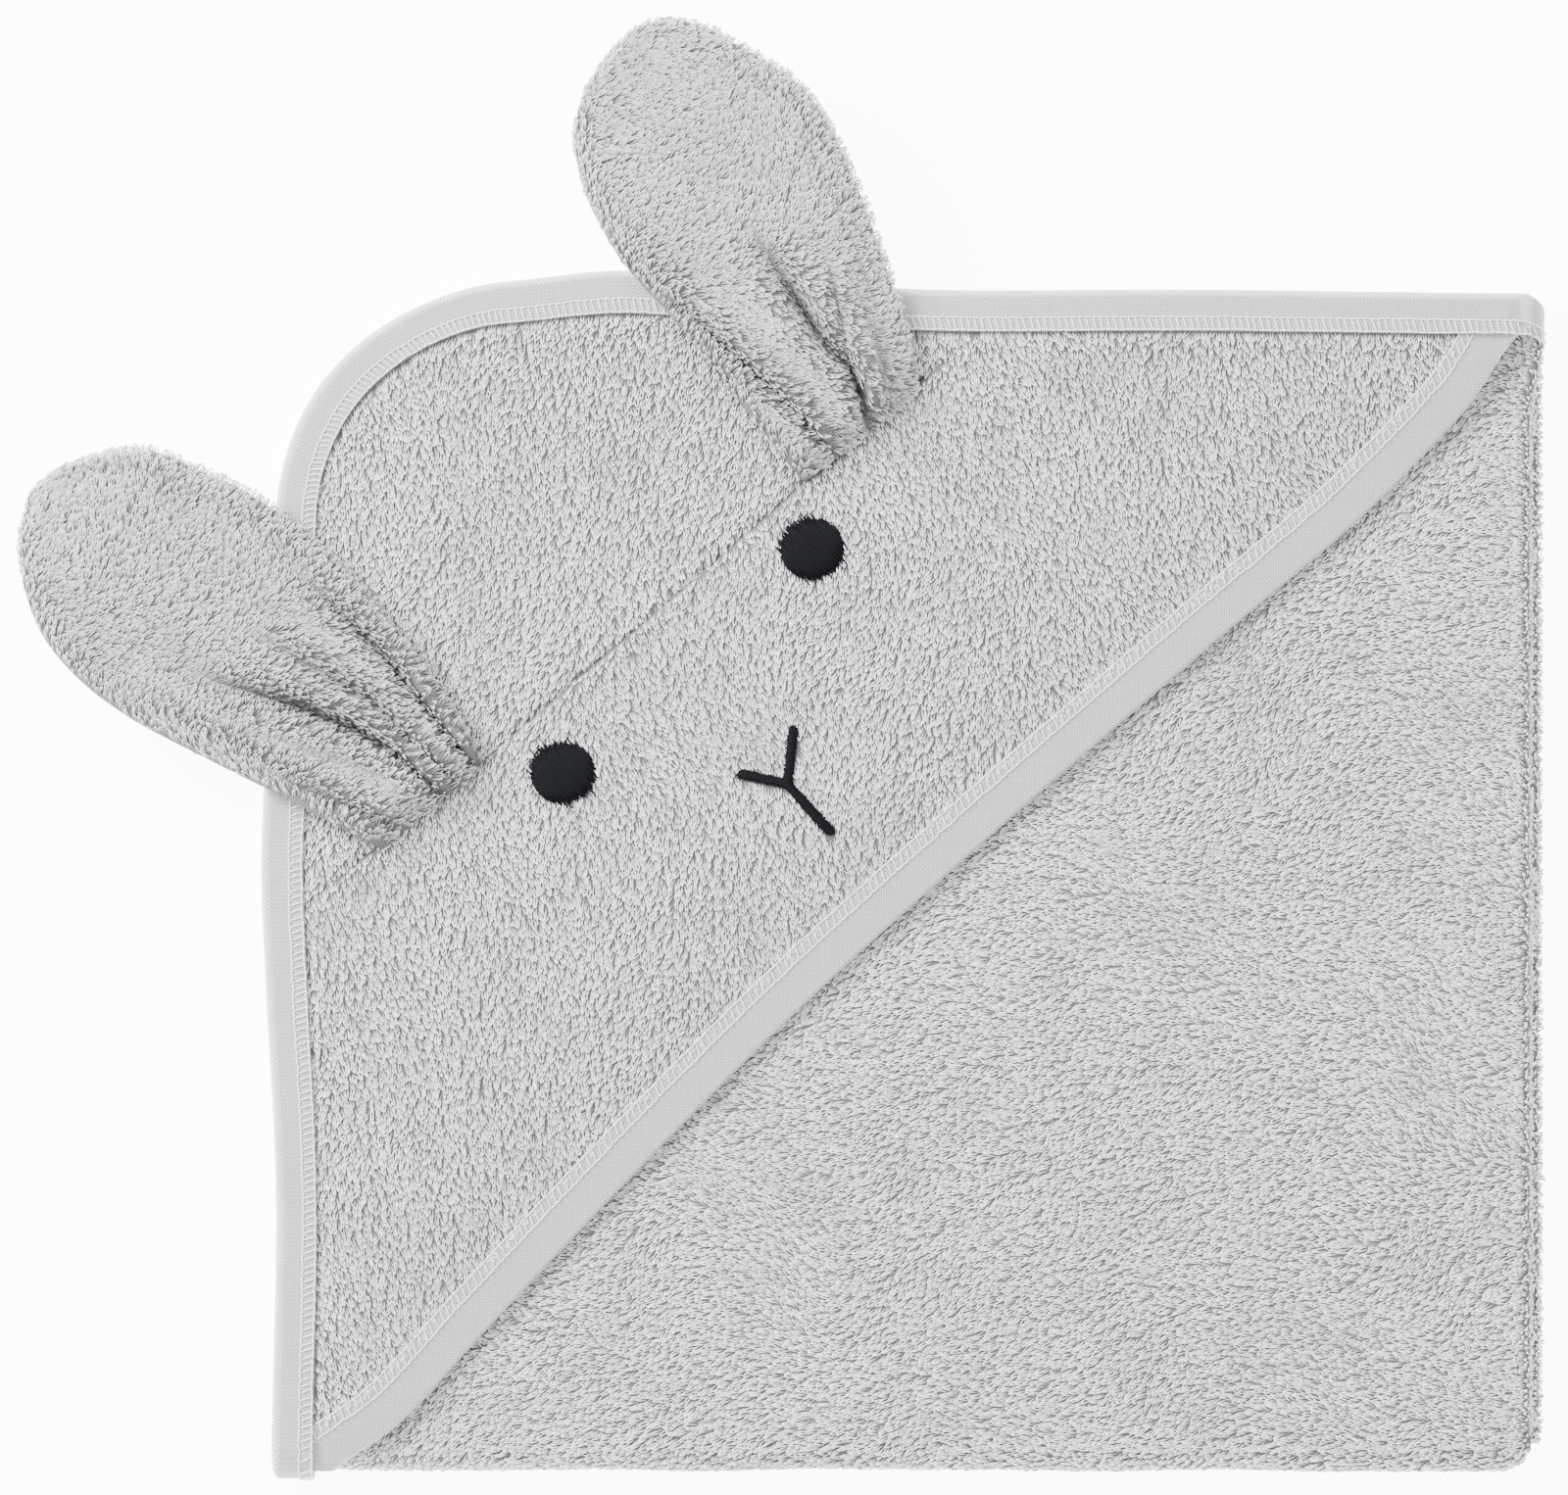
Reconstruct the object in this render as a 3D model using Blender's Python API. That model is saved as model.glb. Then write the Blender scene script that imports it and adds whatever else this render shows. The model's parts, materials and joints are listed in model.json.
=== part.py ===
"""Hooded baby towel, folded in quarters with the hood on top.

The square of terry is folded once behind its right side and once under its end, so it lies in
four layers, numbered 1 on top to 4 on the floor. The hood is sewn over the top left corner of
layer 1 and is open along the slanted mouth. The ears are sewn into the seam between the hood's
crown and its face. Metres, +Z up; the origin is the middle of layer 4's underside.
"""

import math

import bmesh
import bpy
from mathutils import Vector

# The folded packet
PACKET_WIDTH = 0.376  # X, tape edge to side fold
PACKET_DEPTH = 0.349  # Y, tape edge to end fold
CORNER_RADIUS = 0.069  # the towel's four corners, which lie on top of each other
CLOTH = 0.0036  # one layer of terry with its loops
LAYER_GAP = 0.0004
SIDE_FOLD_STEP = 0.0037  # the lower side fold stands out past the upper one

# The tape that binds the towel's edge
TAPE_WIDTH = 0.0124
TAPE = 0.0006
TAPE_SUNK = 0.0001  # below the tips of the terry's loops, on both sides
CLEARANCE = 0.0003  # between pieces that touch
SLOT_PAST = 0.002  # how far a tape's slot is cut past the tape's ends

# The hood
HOOD_CLOTH = 0.0032
POCKET = 0.0046  # height of the hood's pocket over layer 1
MOUTH_TAPE_WIDTH = 0.0148
MOUTH_FOOT = 0.0174  # from the left edge to the mouth's lower end
MOUTH_HEAD = 0.0083  # from the right edge to the mouth's upper end
MOUTH_BOW = 0.0030  # how far the mouth curves in at its middle
SEAM_DROP = 0.181  # from the top edge to the crown seam's lower end
SEAM_RUN = 0.208  # from the left edge to the crown seam's upper end

# The ears
LEFT_EAR_LENGTH = 0.147
RIGHT_EAR_LENGTH = 0.134  # it curls, so it reaches less far
EAR_WIDTH = 0.071
EAR_BASE = 0.041
EAR_CLOTH = 0.0022
EAR_GAP = 0.0004
EAR_SETBACK = 0.0020  # from the hinge line to the ear's base
EAR_FROM_SEAM_END = 0.046
LEFT_EAR_LEAN = math.radians(12)
RIGHT_EAR_LEAN = math.radians(-16)

# The face
EMBROIDERY = 0.0006
EYE_WIDTH = 0.0190
EYE_HEIGHT = 0.0180
EYE_SPACING = 0.0987
EYE_DROP = 0.0184  # below the crown seam
NOSE_PLACE = 0.5554  # share of the way from the crown seam to the mouth
NOSE_ARM = 0.0155
NOSE_STEM = 0.0180
NOSE_STROKE = 0.0032
NOSE_SPREAD = math.radians(43)  # of each arm from the face's middle line

# The stitching
STITCH_WIDTH = 0.0044
STITCH_HEIGHT = 0.0003

ARC_STEPS = 16
MOUTH_STEPS = 12

# Worked out from the sizes above. A hem is terry squeezed thin inside the tape.
HEM = CLOTH - 2 * (TAPE_SUNK + TAPE + CLEARANCE)
HOOD_HEM = HOOD_CLOTH - 2 * (TAPE + CLEARANCE)
LAYER_TAPE = HEM + 2 * (CLEARANCE + TAPE)
EAR_LIFT = STITCH_HEIGHT + 2 * CLEARANCE  # over the hood, clear of its stitching
LEFT, RIGHT = -PACKET_WIDTH / 2, PACKET_WIDTH / 2
BOTTOM, TOP = -PACKET_DEPTH / 2, PACKET_DEPTH / 2
PITCH = CLOTH + LAYER_GAP
LAYER_MIDDLE = {layer: CLOTH / 2 + (4 - layer) * PITCH for layer in (1, 2, 3, 4)}
SIDE_FOLD_RADIUS = (PITCH + CLOTH) / 2
END_FOLD_RADIUS = (3 * PITCH + CLOTH) / 2
LAYER_BOTTOM = BOTTOM + END_FOLD_RADIUS + CLEARANCE
LOWER_RIGHT = RIGHT - SIDE_FOLD_RADIUS - CLEARANCE
UPPER_RIGHT = LOWER_RIGHT - SIDE_FOLD_STEP
LAYER_RIGHT = {1: UPPER_RIGHT, 2: UPPER_RIGHT, 3: LOWER_RIGHT, 4: LOWER_RIGHT}
HEM_INSET = TAPE + CLEARANCE
HOOD_LOW = LAYER_MIDDLE[1] + CLOTH / 2 + POCKET
HOOD_HIGH = HOOD_LOW + HOOD_CLOTH
HOOD_MIDDLE = (HOOD_LOW + HOOD_HIGH) / 2
EAR_AXIS = HOOD_HIGH + EAR_LIFT + EAR_CLOTH + EAR_GAP / 2

MOUTH_START = Vector((LEFT + MOUTH_FOOT, BOTTOM))
MOUTH_END = Vector((RIGHT - MOUTH_HEAD, TOP - TAPE_WIDTH))
SEAM_START = Vector((LEFT + TAPE_WIDTH, TOP - SEAM_DROP))
SEAM_END = Vector((LEFT + SEAM_RUN, TOP - TAPE_WIDTH))
SEAM_ALONG = (SEAM_END - SEAM_START).normalized()
SEAM_UP = Vector((-SEAM_ALONG.y, SEAM_ALONG.x))  # towards the hood's tip
SEAM_ANGLE = math.atan2(SEAM_ALONG.y, SEAM_ALONG.x)
SEAM_MIDDLE = (SEAM_START + SEAM_END) / 2
FACE_HEIGHT = (SEAM_MIDDLE - (MOUTH_START + MOUTH_END) / 2).dot(SEAM_UP)

TERRY_GREY = (0.62, 0.62, 0.63)
TAPE_GREY = (0.66, 0.66, 0.67)
THREAD_WHITE = (0.82, 0.82, 0.82)
THREAD_BLACK = (0.012, 0.012, 0.013)


def clear_scene():
    for obj in list(bpy.data.objects):
        bpy.data.objects.remove(obj, do_unlink=True)


def new_collection(name):
    collection = bpy.data.collections.new(name)
    bpy.context.scene.collection.children.link(collection)
    return collection


def give_material(obj, colour, roughness):
    material = bpy.data.materials.new(obj.name)
    material.use_nodes = True
    shader = material.node_tree.nodes["Principled BSDF"]
    shader.inputs["Base Color"].default_value = (*colour, 1)
    shader.inputs["Roughness"].default_value = roughness
    shader.inputs["Metallic"].default_value = 0
    obj.data.materials.append(material)


# Flat outlines, as lists of points in the packet's plane


def arc(centre, radius, start, end, steps=ARC_STEPS):
    return [
        centre + radius * Vector((math.cos(angle), math.sin(angle)))
        for angle in (start + (end - start) * i / steps for i in range(steps + 1))
    ]


def corner_centre():
    return Vector((LEFT + CORNER_RADIUS, TOP - CORNER_RADIUS))


def packet_outline(inset, right, bottom):
    """The packet's rounded outline, anticlockwise, with its taped edges moved in by inset."""
    corner = arc(corner_centre(), CORNER_RADIUS - inset, math.pi / 2, math.pi)
    return [
        Vector((LEFT + inset, bottom)),
        Vector((right, bottom)),
        Vector((right, TOP - inset)),
        *corner,
    ]


def clipped(outline, convex):
    """The part of an outline that lies inside a convex anticlockwise one."""
    for i, start in enumerate(convex):
        end = convex[(i + 1) % len(convex)]
        edge = end - start
        sides = [edge.cross(point - start) for point in outline]
        kept = []
        for j, point in enumerate(outline):
            before, side = sides[j - 1], sides[j]
            if (before < 0) != (side < 0):
                kept.append(outline[j - 1].lerp(point, before / (before - side)))
            if side >= 0:
                kept.append(point)
        outline = kept
    return outline


def mouth_line(inset):
    """The hood's mouth from its foot to its head and a little past both, moved in by inset."""
    chord = MOUTH_END - MOUTH_START
    inward = Vector((-chord.y, chord.x)).normalized()
    shares = [-0.1 + 1.2 * i / MOUTH_STEPS for i in range(MOUTH_STEPS + 1)]
    return [
        MOUTH_START + share * chord + (inset + 4 * MOUTH_BOW * share * (1 - share)) * inward
        for share in shares
    ]


def mouth_band(outer, inner):
    return [*mouth_line(outer), *reversed(mouth_line(inner))]


def hood_side(inset):
    """All of the plane on the hood's side of its mouth, as far as the packet needs."""
    line = mouth_line(inset)
    beyond = PACKET_WIDTH + PACKET_DEPTH
    return [*line, Vector((line[-1].x, beyond)), Vector((-beyond, beyond)), Vector((-beyond, line[0].y))]


def seam_side(towards):
    """The half plane on one side of the crown seam, short of it by half the clearance."""
    reach = PACKET_WIDTH + PACKET_DEPTH
    near = towards * CLEARANCE / 2 * SEAM_UP
    far = towards * reach * SEAM_UP
    ends = [SEAM_MIDDLE - reach * SEAM_ALONG, SEAM_MIDDLE + reach * SEAM_ALONG]
    outline = [ends[0] + near, ends[1] + near, ends[1] + far, ends[0] + far]
    return outline if towards > 0 else outline[::-1]


def hood_outline(inset, mouth_inset, towards):
    """The hood's crown (towards 1) or face (towards -1)."""
    whole = clipped(hood_side(mouth_inset), packet_outline(inset, RIGHT, BOTTOM + CLEARANCE))
    return clipped(whole, seam_side(towards))


def tape_band(side, outer, inner, right, bottom, past=0.0):
    """One stretch of the tape: its top run, its corner or its left run, lengthened by past."""
    centre = corner_centre()
    half_gap = CLEARANCE / 2 - past
    if side == "top":
        low, high = Vector((centre.x + half_gap, TOP - inner)), Vector((right + past, TOP - outer))
    elif side == "left":
        low, high = Vector((LEFT + outer, bottom - past)), Vector((LEFT + inner, centre.y - half_gap))
    else:
        turn = half_gap / CORNER_RADIUS
        start, end = math.pi / 2 + turn, math.pi - turn
        outside = arc(centre, CORNER_RADIUS - outer, start, end)
        return [*outside, *reversed(arc(centre, CORNER_RADIUS - inner, start, end))]
    return [low, Vector((high.x, low.y)), high, Vector((low.x, high.y))]


def ellipse(width, height, steps=32):
    angles = (2 * math.pi * i / steps for i in range(steps))
    return [Vector((width / 2 * math.cos(a), height / 2 * math.sin(a))) for a in angles]


def nose_outline():
    """Three round-ended strokes that meet: two arms up to the seam side and a stem down."""
    half = NOSE_STROKE / 2
    up = math.pi / 2
    strokes = [(up - NOSE_SPREAD, NOSE_ARM), (up + NOSE_SPREAD, NOSE_ARM), (3 * up, NOSE_STEM)]
    points = []
    for i, (angle, length) in enumerate(strokes):
        tip = (length - half) * Vector((math.cos(angle), math.sin(angle)))
        points += arc(tip, half, angle - up, angle + up, steps=8)
        following = strokes[(i + 1) % 3][0]
        between = ((following - angle) % (2 * math.pi)) / 2
        notch = half / math.sin(between)
        points.append(notch * Vector((math.cos(angle + between), math.sin(angle + between))))
    return points


def ear_outline(length, mirror):
    """Control points of an ear, base to tip along +Y, fuller on the side towards the other ear."""
    shape = [
        (EAR_BASE / EAR_WIDTH / 2, 0.00),
        (0.36, 0.22),
        (0.42, 0.46),
        (0.43, 0.72),
        (0.24, 0.93),
        (-0.06, 1.00),
        (-0.37, 0.94),
        (-0.55, 0.76),
        (-0.54, 0.48),
        (-0.46, 0.20),
        (-EAR_BASE / EAR_WIDTH / 2, 0.00),
    ]
    return [Vector((mirror * x * EAR_WIDTH, EAR_SETBACK + y * length)) for x, y in shape]


# Solids


def solid_from_curve(curve, name, collection):
    """A mesh object made from a filled curve, with the curve's loose caps welded on."""
    source = bpy.data.objects.new(name, curve)
    collection.objects.link(source)
    graph = bpy.context.evaluated_depsgraph_get()
    mesh = bpy.data.meshes.new_from_object(source.evaluated_get(graph))
    bpy.data.objects.remove(source)
    shape = bmesh.new()
    shape.from_mesh(mesh)
    bmesh.ops.remove_doubles(shape, verts=shape.verts, dist=0.000001)
    bmesh.ops.recalc_face_normals(shape, faces=shape.faces)
    shape.to_mesh(mesh)
    shape.free()
    solid = bpy.data.objects.new(name, mesh)
    collection.objects.link(solid)
    return solid


def plate(name, outline, low, high, collection, rounded=False):
    """A flat piece of cloth, tape or thread between two heights."""
    curve = bpy.data.curves.new(name, "CURVE")
    curve.dimensions = "2D"
    curve.fill_mode = "BOTH"
    curve.extrude = (high - low) / 2
    spline = curve.splines.new("BEZIER" if rounded else "POLY")
    spline.use_cyclic_u = True
    if rounded:
        curve.resolution_u = 6
        spline.bezier_points.add(len(outline) - 1)
        for knot, point in zip(spline.bezier_points, outline):
            knot.co = (*point, 0)
            is_base_corner = point in (outline[0], outline[-1])
            kind = "VECTOR" if is_base_corner else "AUTO"
            knot.handle_left_type = kind
            knot.handle_right_type = kind
    else:
        spline.points.add(len(outline) - 1)
        for knot, point in zip(spline.points, outline):
            knot.co = (*point, 0, 1)
    obj = solid_from_curve(curve, name, collection)
    obj.location.z = (low + high) / 2
    return obj


def combine(obj, helper, operation):
    helper.hide_render = True
    helper.display_type = "WIRE"
    modifier = obj.modifiers.new(f"{operation.lower()}_{helper.name}", "BOOLEAN")
    modifier.operation = operation
    modifier.object = helper


def cloth_with_hem(name, field, hem, middle, thickness, hem_thickness, collections):
    """A layer of terry whose edge is squeezed thin where the tape holds it."""
    parts, helpers = collections
    obj = plate(name, field, middle - thickness / 2, middle + thickness / 2, parts)
    thin = plate(f"{name}_hem", hem, middle - hem_thickness / 2, middle + hem_thickness / 2, helpers)
    combine(obj, thin, "UNION")
    give_material(obj, TERRY_GREY, 0.95)
    return obj


def towel_layer(layer, collections):
    right = LAYER_RIGHT[layer]
    cloth_with_hem(
        f"towel_layer_{layer}",
        packet_outline(TAPE_WIDTH + CLEARANCE, right, LAYER_BOTTOM),
        packet_outline(HEM_INSET, right, LAYER_BOTTOM),
        LAYER_MIDDLE[layer],
        CLOTH,
        HEM,
        collections,
    )


def slot_cutter(name, band, middle, height, helpers):
    return plate(name, band, middle - height / 2, middle + height / 2, helpers)


def layer_tape(layer, side, collections):
    """The tape round one layer's edge. On layer 1 it also holds the hood's edge, higher up."""
    parts, helpers = collections
    middle = LAYER_MIDDLE[layer]
    hems = [(middle, HEM)]
    if layer == 1:
        hems.append((HOOD_MIDDLE, HOOD_HEM))
    low = middle - LAYER_TAPE / 2
    high = hems[-1][0] + hems[-1][1] / 2 + CLEARANCE + TAPE
    right = LAYER_RIGHT[layer]
    name = f"tape_{side}_{layer}"
    band = tape_band(side, 0, TAPE_WIDTH, right, LAYER_BOTTOM)
    tape = plate(name, band, low, high, parts)
    for i, (hem_middle, hem) in enumerate(hems):
        cut = tape_band(side, TAPE, TAPE_WIDTH + TAPE, right, LAYER_BOTTOM, past=SLOT_PAST)
        slot = slot_cutter(f"{name}_slot_{i}", cut, hem_middle, hem + 2 * CLEARANCE, helpers)
        combine(tape, slot, "DIFFERENCE")
    give_material(tape, TAPE_GREY, 0.85)


def bend(name, layers, thickness, edge, start, end, faces_end, parts):
    """A layer's turn into the one under it: half a tube that runs from start to end."""
    upper, lower = (LAYER_MIDDLE[layer] for layer in layers)
    radius = (upper - lower) / 2
    quarter = math.pi / 2
    centre = Vector((0, 0))
    outside = arc(centre, radius + thickness / 2, -quarter, quarter)
    inside = arc(centre, radius - thickness / 2, quarter, -quarter)
    obj = plate(name, [*outside, *inside], 0, end - start, parts)
    middle = (start + end) / 2
    height = (upper + lower) / 2
    if faces_end:
        obj.rotation_euler = (quarter, 0, -quarter)
        obj.location = (middle, edge, height)
    else:
        obj.rotation_euler = (quarter, 0, 0)
        obj.location = (edge, middle, height)
    obj.data.shade_smooth()
    obj.data.set_sharp_from_angle(angle=math.radians(40))
    return obj


def side_folds(parts):
    cloth_end = TOP - TAPE_WIDTH - CLEARANCE
    for name, layers in (("upper", (1, 2)), ("lower", (3, 4))):
        edge = LAYER_RIGHT[layers[0]] + CLEARANCE
        cloth = bend(f"side_fold_{name}", layers, CLOTH, edge, LAYER_BOTTOM, cloth_end, False, parts)
        give_material(cloth, TERRY_GREY, 0.95)
        tape_start = TOP - TAPE_WIDTH
        tape = bend(f"tape_side_fold_{name}", layers, LAYER_TAPE, edge, tape_start, TOP, False, parts)
        give_material(tape, TAPE_GREY, 0.85)


def end_folds(parts):
    edge = LAYER_BOTTOM - CLEARANCE
    cloth_start = LEFT + TAPE_WIDTH + CLEARANCE
    for name, layers in (("inner", (2, 3)), ("outer", (1, 4))):
        cloth = bend(f"end_fold_{name}", layers, CLOTH, edge, cloth_start, UPPER_RIGHT, True, parts)
        give_material(cloth, TERRY_GREY, 0.95)
        tape_end = LEFT + TAPE_WIDTH
        tape = bend(f"tape_end_fold_{name}", layers, LAYER_TAPE, edge, LEFT, tape_end, True, parts)
        give_material(tape, TAPE_GREY, 0.85)


def hood_cloth(name, towards, collections):
    cloth_with_hem(
        name,
        hood_outline(TAPE_WIDTH + CLEARANCE, MOUTH_TAPE_WIDTH + CLEARANCE, towards),
        hood_outline(HEM_INSET, HEM_INSET, towards),
        HOOD_MIDDLE,
        HOOD_CLOTH,
        HOOD_HEM,
        collections,
    )


def inside_tape():
    return packet_outline(TAPE_WIDTH + CLEARANCE, RIGHT - TAPE, BOTTOM + CLEARANCE)


def mouth_tape(collections):
    parts, helpers = collections
    band = clipped(mouth_band(0, MOUTH_TAPE_WIDTH), inside_tape())
    tape = plate("hood_mouth_tape", band, HOOD_LOW, HOOD_HIGH, parts)
    cut = mouth_band(TAPE, MOUTH_TAPE_WIDTH + TAPE)
    slot = slot_cutter("mouth_slot", cut, HOOD_MIDDLE, HOOD_HEM + 2 * CLEARANCE, helpers)
    combine(tape, slot, "DIFFERENCE")
    give_material(tape, TAPE_GREY, 0.85)


def stitching(parts):
    """The rows of thread that hold the tape down along its inner edge."""
    mouth_inner = MOUTH_TAPE_WIDTH - CLEARANCE
    rows = {"mouth": clipped(mouth_band(mouth_inner - STITCH_WIDTH, mouth_inner), inside_tape())}
    for side in ("top", "corner", "left"):
        outer = TAPE_WIDTH - STITCH_WIDTH
        rows[side] = tape_band(side, outer, TAPE_WIDTH, UPPER_RIGHT, LAYER_BOTTOM)
    low = HOOD_HIGH + CLEARANCE
    for side, outline in rows.items():
        row = plate(f"stitching_{side}", outline, low, low + STITCH_HEIGHT, parts)
        give_material(row, THREAD_WHITE, 0.6)


def ear(side, length, lean, mirror, parts):
    """Two leaves of terry on an empty at the hinge, which is the seam line under the ear."""
    reach = (SEAM_END - SEAM_START).length / 2 - EAR_FROM_SEAM_END
    base = SEAM_MIDDLE + mirror * reach * SEAM_ALONG
    hinge = bpy.data.objects.new(f"{side}_ear_hinge", None)
    parts.objects.link(hinge)
    hinge.location = (*base, EAR_AXIS)
    hinge.rotation_euler = (0, 0, SEAM_ANGLE)
    outline = ear_outline(length, mirror)
    leaves = {
        "front": (EAR_GAP / 2, EAR_GAP / 2 + EAR_CLOTH),
        "back": (-EAR_GAP / 2 - EAR_CLOTH, -EAR_GAP / 2),
    }
    for leaf, (low, high) in leaves.items():
        piece = plate(f"{side}_ear_{leaf}", outline, low, high, parts, rounded=True)
        lean_about_base(piece, lean)
        piece.parent = hinge
        give_material(piece, TERRY_GREY, 0.95)


def lean_about_base(piece, lean):
    """Swings the ear's tip sideways and leaves its base on the seam."""
    for vertex in piece.data.vertices:
        rise = max(0.0, vertex.co.y - EAR_SETBACK)
        vertex.co.x -= rise * math.sin(lean)
        vertex.co.y = vertex.co.y - rise * (1 - math.cos(lean))


def embroidery(name, outline, drop, along, parts):
    """A pad of satin stitch on the face, placed from the crown seam's middle."""
    low = HOOD_HIGH + CLEARANCE
    pad = plate(name, outline, low, low + EMBROIDERY, parts)
    place = SEAM_MIDDLE + along * SEAM_ALONG - drop * SEAM_UP
    pad.location.x, pad.location.y = place
    pad.rotation_euler = (0, 0, SEAM_ANGLE)
    give_material(pad, THREAD_BLACK, 0.5)


def main():
    clear_scene()
    collections = new_collection("hooded_baby_towel"), new_collection("cutters")
    parts = collections[0]
    for layer in (1, 2, 3, 4):
        towel_layer(layer, collections)
        for side in ("top", "corner", "left"):
            layer_tape(layer, side, collections)
    side_folds(parts)
    end_folds(parts)
    hood_cloth("hood_crown", 1, collections)
    hood_cloth("hood_face", -1, collections)
    mouth_tape(collections)
    stitching(parts)
    ear("left", LEFT_EAR_LENGTH, LEFT_EAR_LEAN, -1, parts)
    ear("right", RIGHT_EAR_LENGTH, RIGHT_EAR_LEAN, 1, parts)
    embroidery("left_eye", ellipse(EYE_WIDTH, EYE_HEIGHT), EYE_DROP, -EYE_SPACING / 2, parts)
    embroidery("right_eye", ellipse(EYE_WIDTH, EYE_HEIGHT), EYE_DROP, EYE_SPACING / 2, parts)
    embroidery("nose", nose_outline(), NOSE_PLACE * FACE_HEIGHT, 0.0, parts)


main()
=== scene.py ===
"""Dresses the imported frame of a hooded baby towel, folded in quarters: terry with its loops, the tape
round its edge, the cover stitch, the two sewn ears and the embroidered face. Metres, +Z up."""

import json
import math

import bpy
import numpy as np
from bpy.props import FloatProperty, FloatVectorProperty, PointerProperty
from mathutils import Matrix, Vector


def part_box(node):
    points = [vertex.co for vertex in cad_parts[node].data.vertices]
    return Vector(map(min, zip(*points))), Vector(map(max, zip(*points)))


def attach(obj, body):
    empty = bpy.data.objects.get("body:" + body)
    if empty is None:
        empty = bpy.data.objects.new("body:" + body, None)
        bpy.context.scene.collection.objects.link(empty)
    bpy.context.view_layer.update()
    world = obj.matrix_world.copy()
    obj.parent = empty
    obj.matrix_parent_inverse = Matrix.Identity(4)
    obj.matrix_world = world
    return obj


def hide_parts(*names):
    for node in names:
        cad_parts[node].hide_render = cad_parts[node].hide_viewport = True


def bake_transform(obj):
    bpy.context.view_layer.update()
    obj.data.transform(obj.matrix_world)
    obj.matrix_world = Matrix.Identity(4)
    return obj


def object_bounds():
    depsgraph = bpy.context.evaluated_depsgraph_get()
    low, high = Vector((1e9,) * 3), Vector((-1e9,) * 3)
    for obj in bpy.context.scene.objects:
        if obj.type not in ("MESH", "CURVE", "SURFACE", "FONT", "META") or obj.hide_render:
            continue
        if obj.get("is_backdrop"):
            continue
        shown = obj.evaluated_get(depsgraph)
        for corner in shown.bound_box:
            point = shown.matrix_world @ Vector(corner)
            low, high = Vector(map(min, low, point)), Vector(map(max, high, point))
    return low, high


bl_info = {
    "name": "Hooded Baby Towel",
    "version": (1, 0, 0),
    "blender": (4, 5, 0),
    "location": "3D View > Sidebar > Towel",
    "description": "Builds the cloth, tape, stitches, ears and face of a folded hooded baby towel",
    "category": "Object",
}

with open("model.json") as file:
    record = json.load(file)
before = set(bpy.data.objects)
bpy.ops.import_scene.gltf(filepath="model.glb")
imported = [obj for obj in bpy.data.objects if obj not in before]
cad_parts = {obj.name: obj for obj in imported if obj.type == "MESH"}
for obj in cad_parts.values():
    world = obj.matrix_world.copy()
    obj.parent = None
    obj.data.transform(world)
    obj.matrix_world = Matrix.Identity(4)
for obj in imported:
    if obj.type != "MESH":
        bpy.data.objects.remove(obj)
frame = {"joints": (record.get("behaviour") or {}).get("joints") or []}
CAD_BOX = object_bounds()
MM = 0.001

# Places that come from the frame
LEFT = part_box("tape_left_1")[0].x
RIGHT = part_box("side_fold_lower")[1].x
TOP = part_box("tape_top_1")[1].y
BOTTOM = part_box("end_fold_outer")[0].y
UPPER_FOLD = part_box("side_fold_upper")[1].x
LAYER_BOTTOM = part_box("towel_layer_1")[0].y
TAPE_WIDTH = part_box("tape_left_1")[1].x - LEFT
CORNER_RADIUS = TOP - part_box("tape_corner_1")[0].y
CORNER = np.array([LEFT + CORNER_RADIUS, TOP - CORNER_RADIUS])
LAYER_Z = {n: sum(corner.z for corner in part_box(f"towel_layer_{n}")) / 2 for n in (1, 2, 3, 4)}
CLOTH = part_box("towel_layer_1")[1].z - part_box("towel_layer_1")[0].z
HOOD_Z = sum(corner.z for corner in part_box("hood_face")) / 2
EDGE_TAPE_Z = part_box("tape_left_1")[0].z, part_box("tape_left_1")[1].z
FOLD_RADIUS = (LAYER_Z[1] - LAYER_Z[2]) / 2
JOINTS = {joint["name"]: joint for joint in frame["joints"]}
EAR_BASES = {side: np.array(JOINTS[f"{side}_ear_flop"]["pos_m"]) for side in ("left", "right")}
SEAM_ALONG = np.array(JOINTS["left_ear_flop"]["axis"][:2])
SEAM_UP = np.array([-SEAM_ALONG[1], SEAM_ALONG[0]])

# How the cloth lies, in metres
GROUND = 1.6 * MM  # thickness of the woven ground under the loops
HOOD_DROP = 4.2 * MM  # the hood sinks towards its mouth
HOOD_DROP_REACH = 42 * MM
MOUTH_TAPE_WIDTH = 14.8 * MM
MOUTH_HEM = 1.3 * MM  # half the thickness of the bound mouth
MOUTH_FOOT = 17.4 * MM
MOUTH_HEAD = 8.3 * MM
STITCH_BAND = 4.4 * MM
STITCH_INSET = 0.5 * MM  # from the tape's inner edge to the first row of thread
SEAM_BAND = 7.5 * MM  # flattened loops along the crown seam
FOLD_FLARE = 3.9 * MM  # the upper side fold spreads where the tape turns round it
PACKET_CORNER = 11 * MM  # radius of the bottom right corner
END_ROUND = 4.5 * MM  # radius of the top right corner
END_TAIL = 3 * MM  # how far the cloth of an end fold reaches on to its layers

# Share of the mouth's length, and how far it swings outwards there
MOUTH_SWAY = (
    (0.0, 0.0), (0.05, 3.2 * MM), (0.12, 1.4 * MM), (0.42, -3.0 * MM), (0.56, -0.8 * MM), (0.72, 3.2 * MM),
    (0.89, 7.0 * MM), (0.95, 5.0 * MM), (1.0, 0.0),
)
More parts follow.
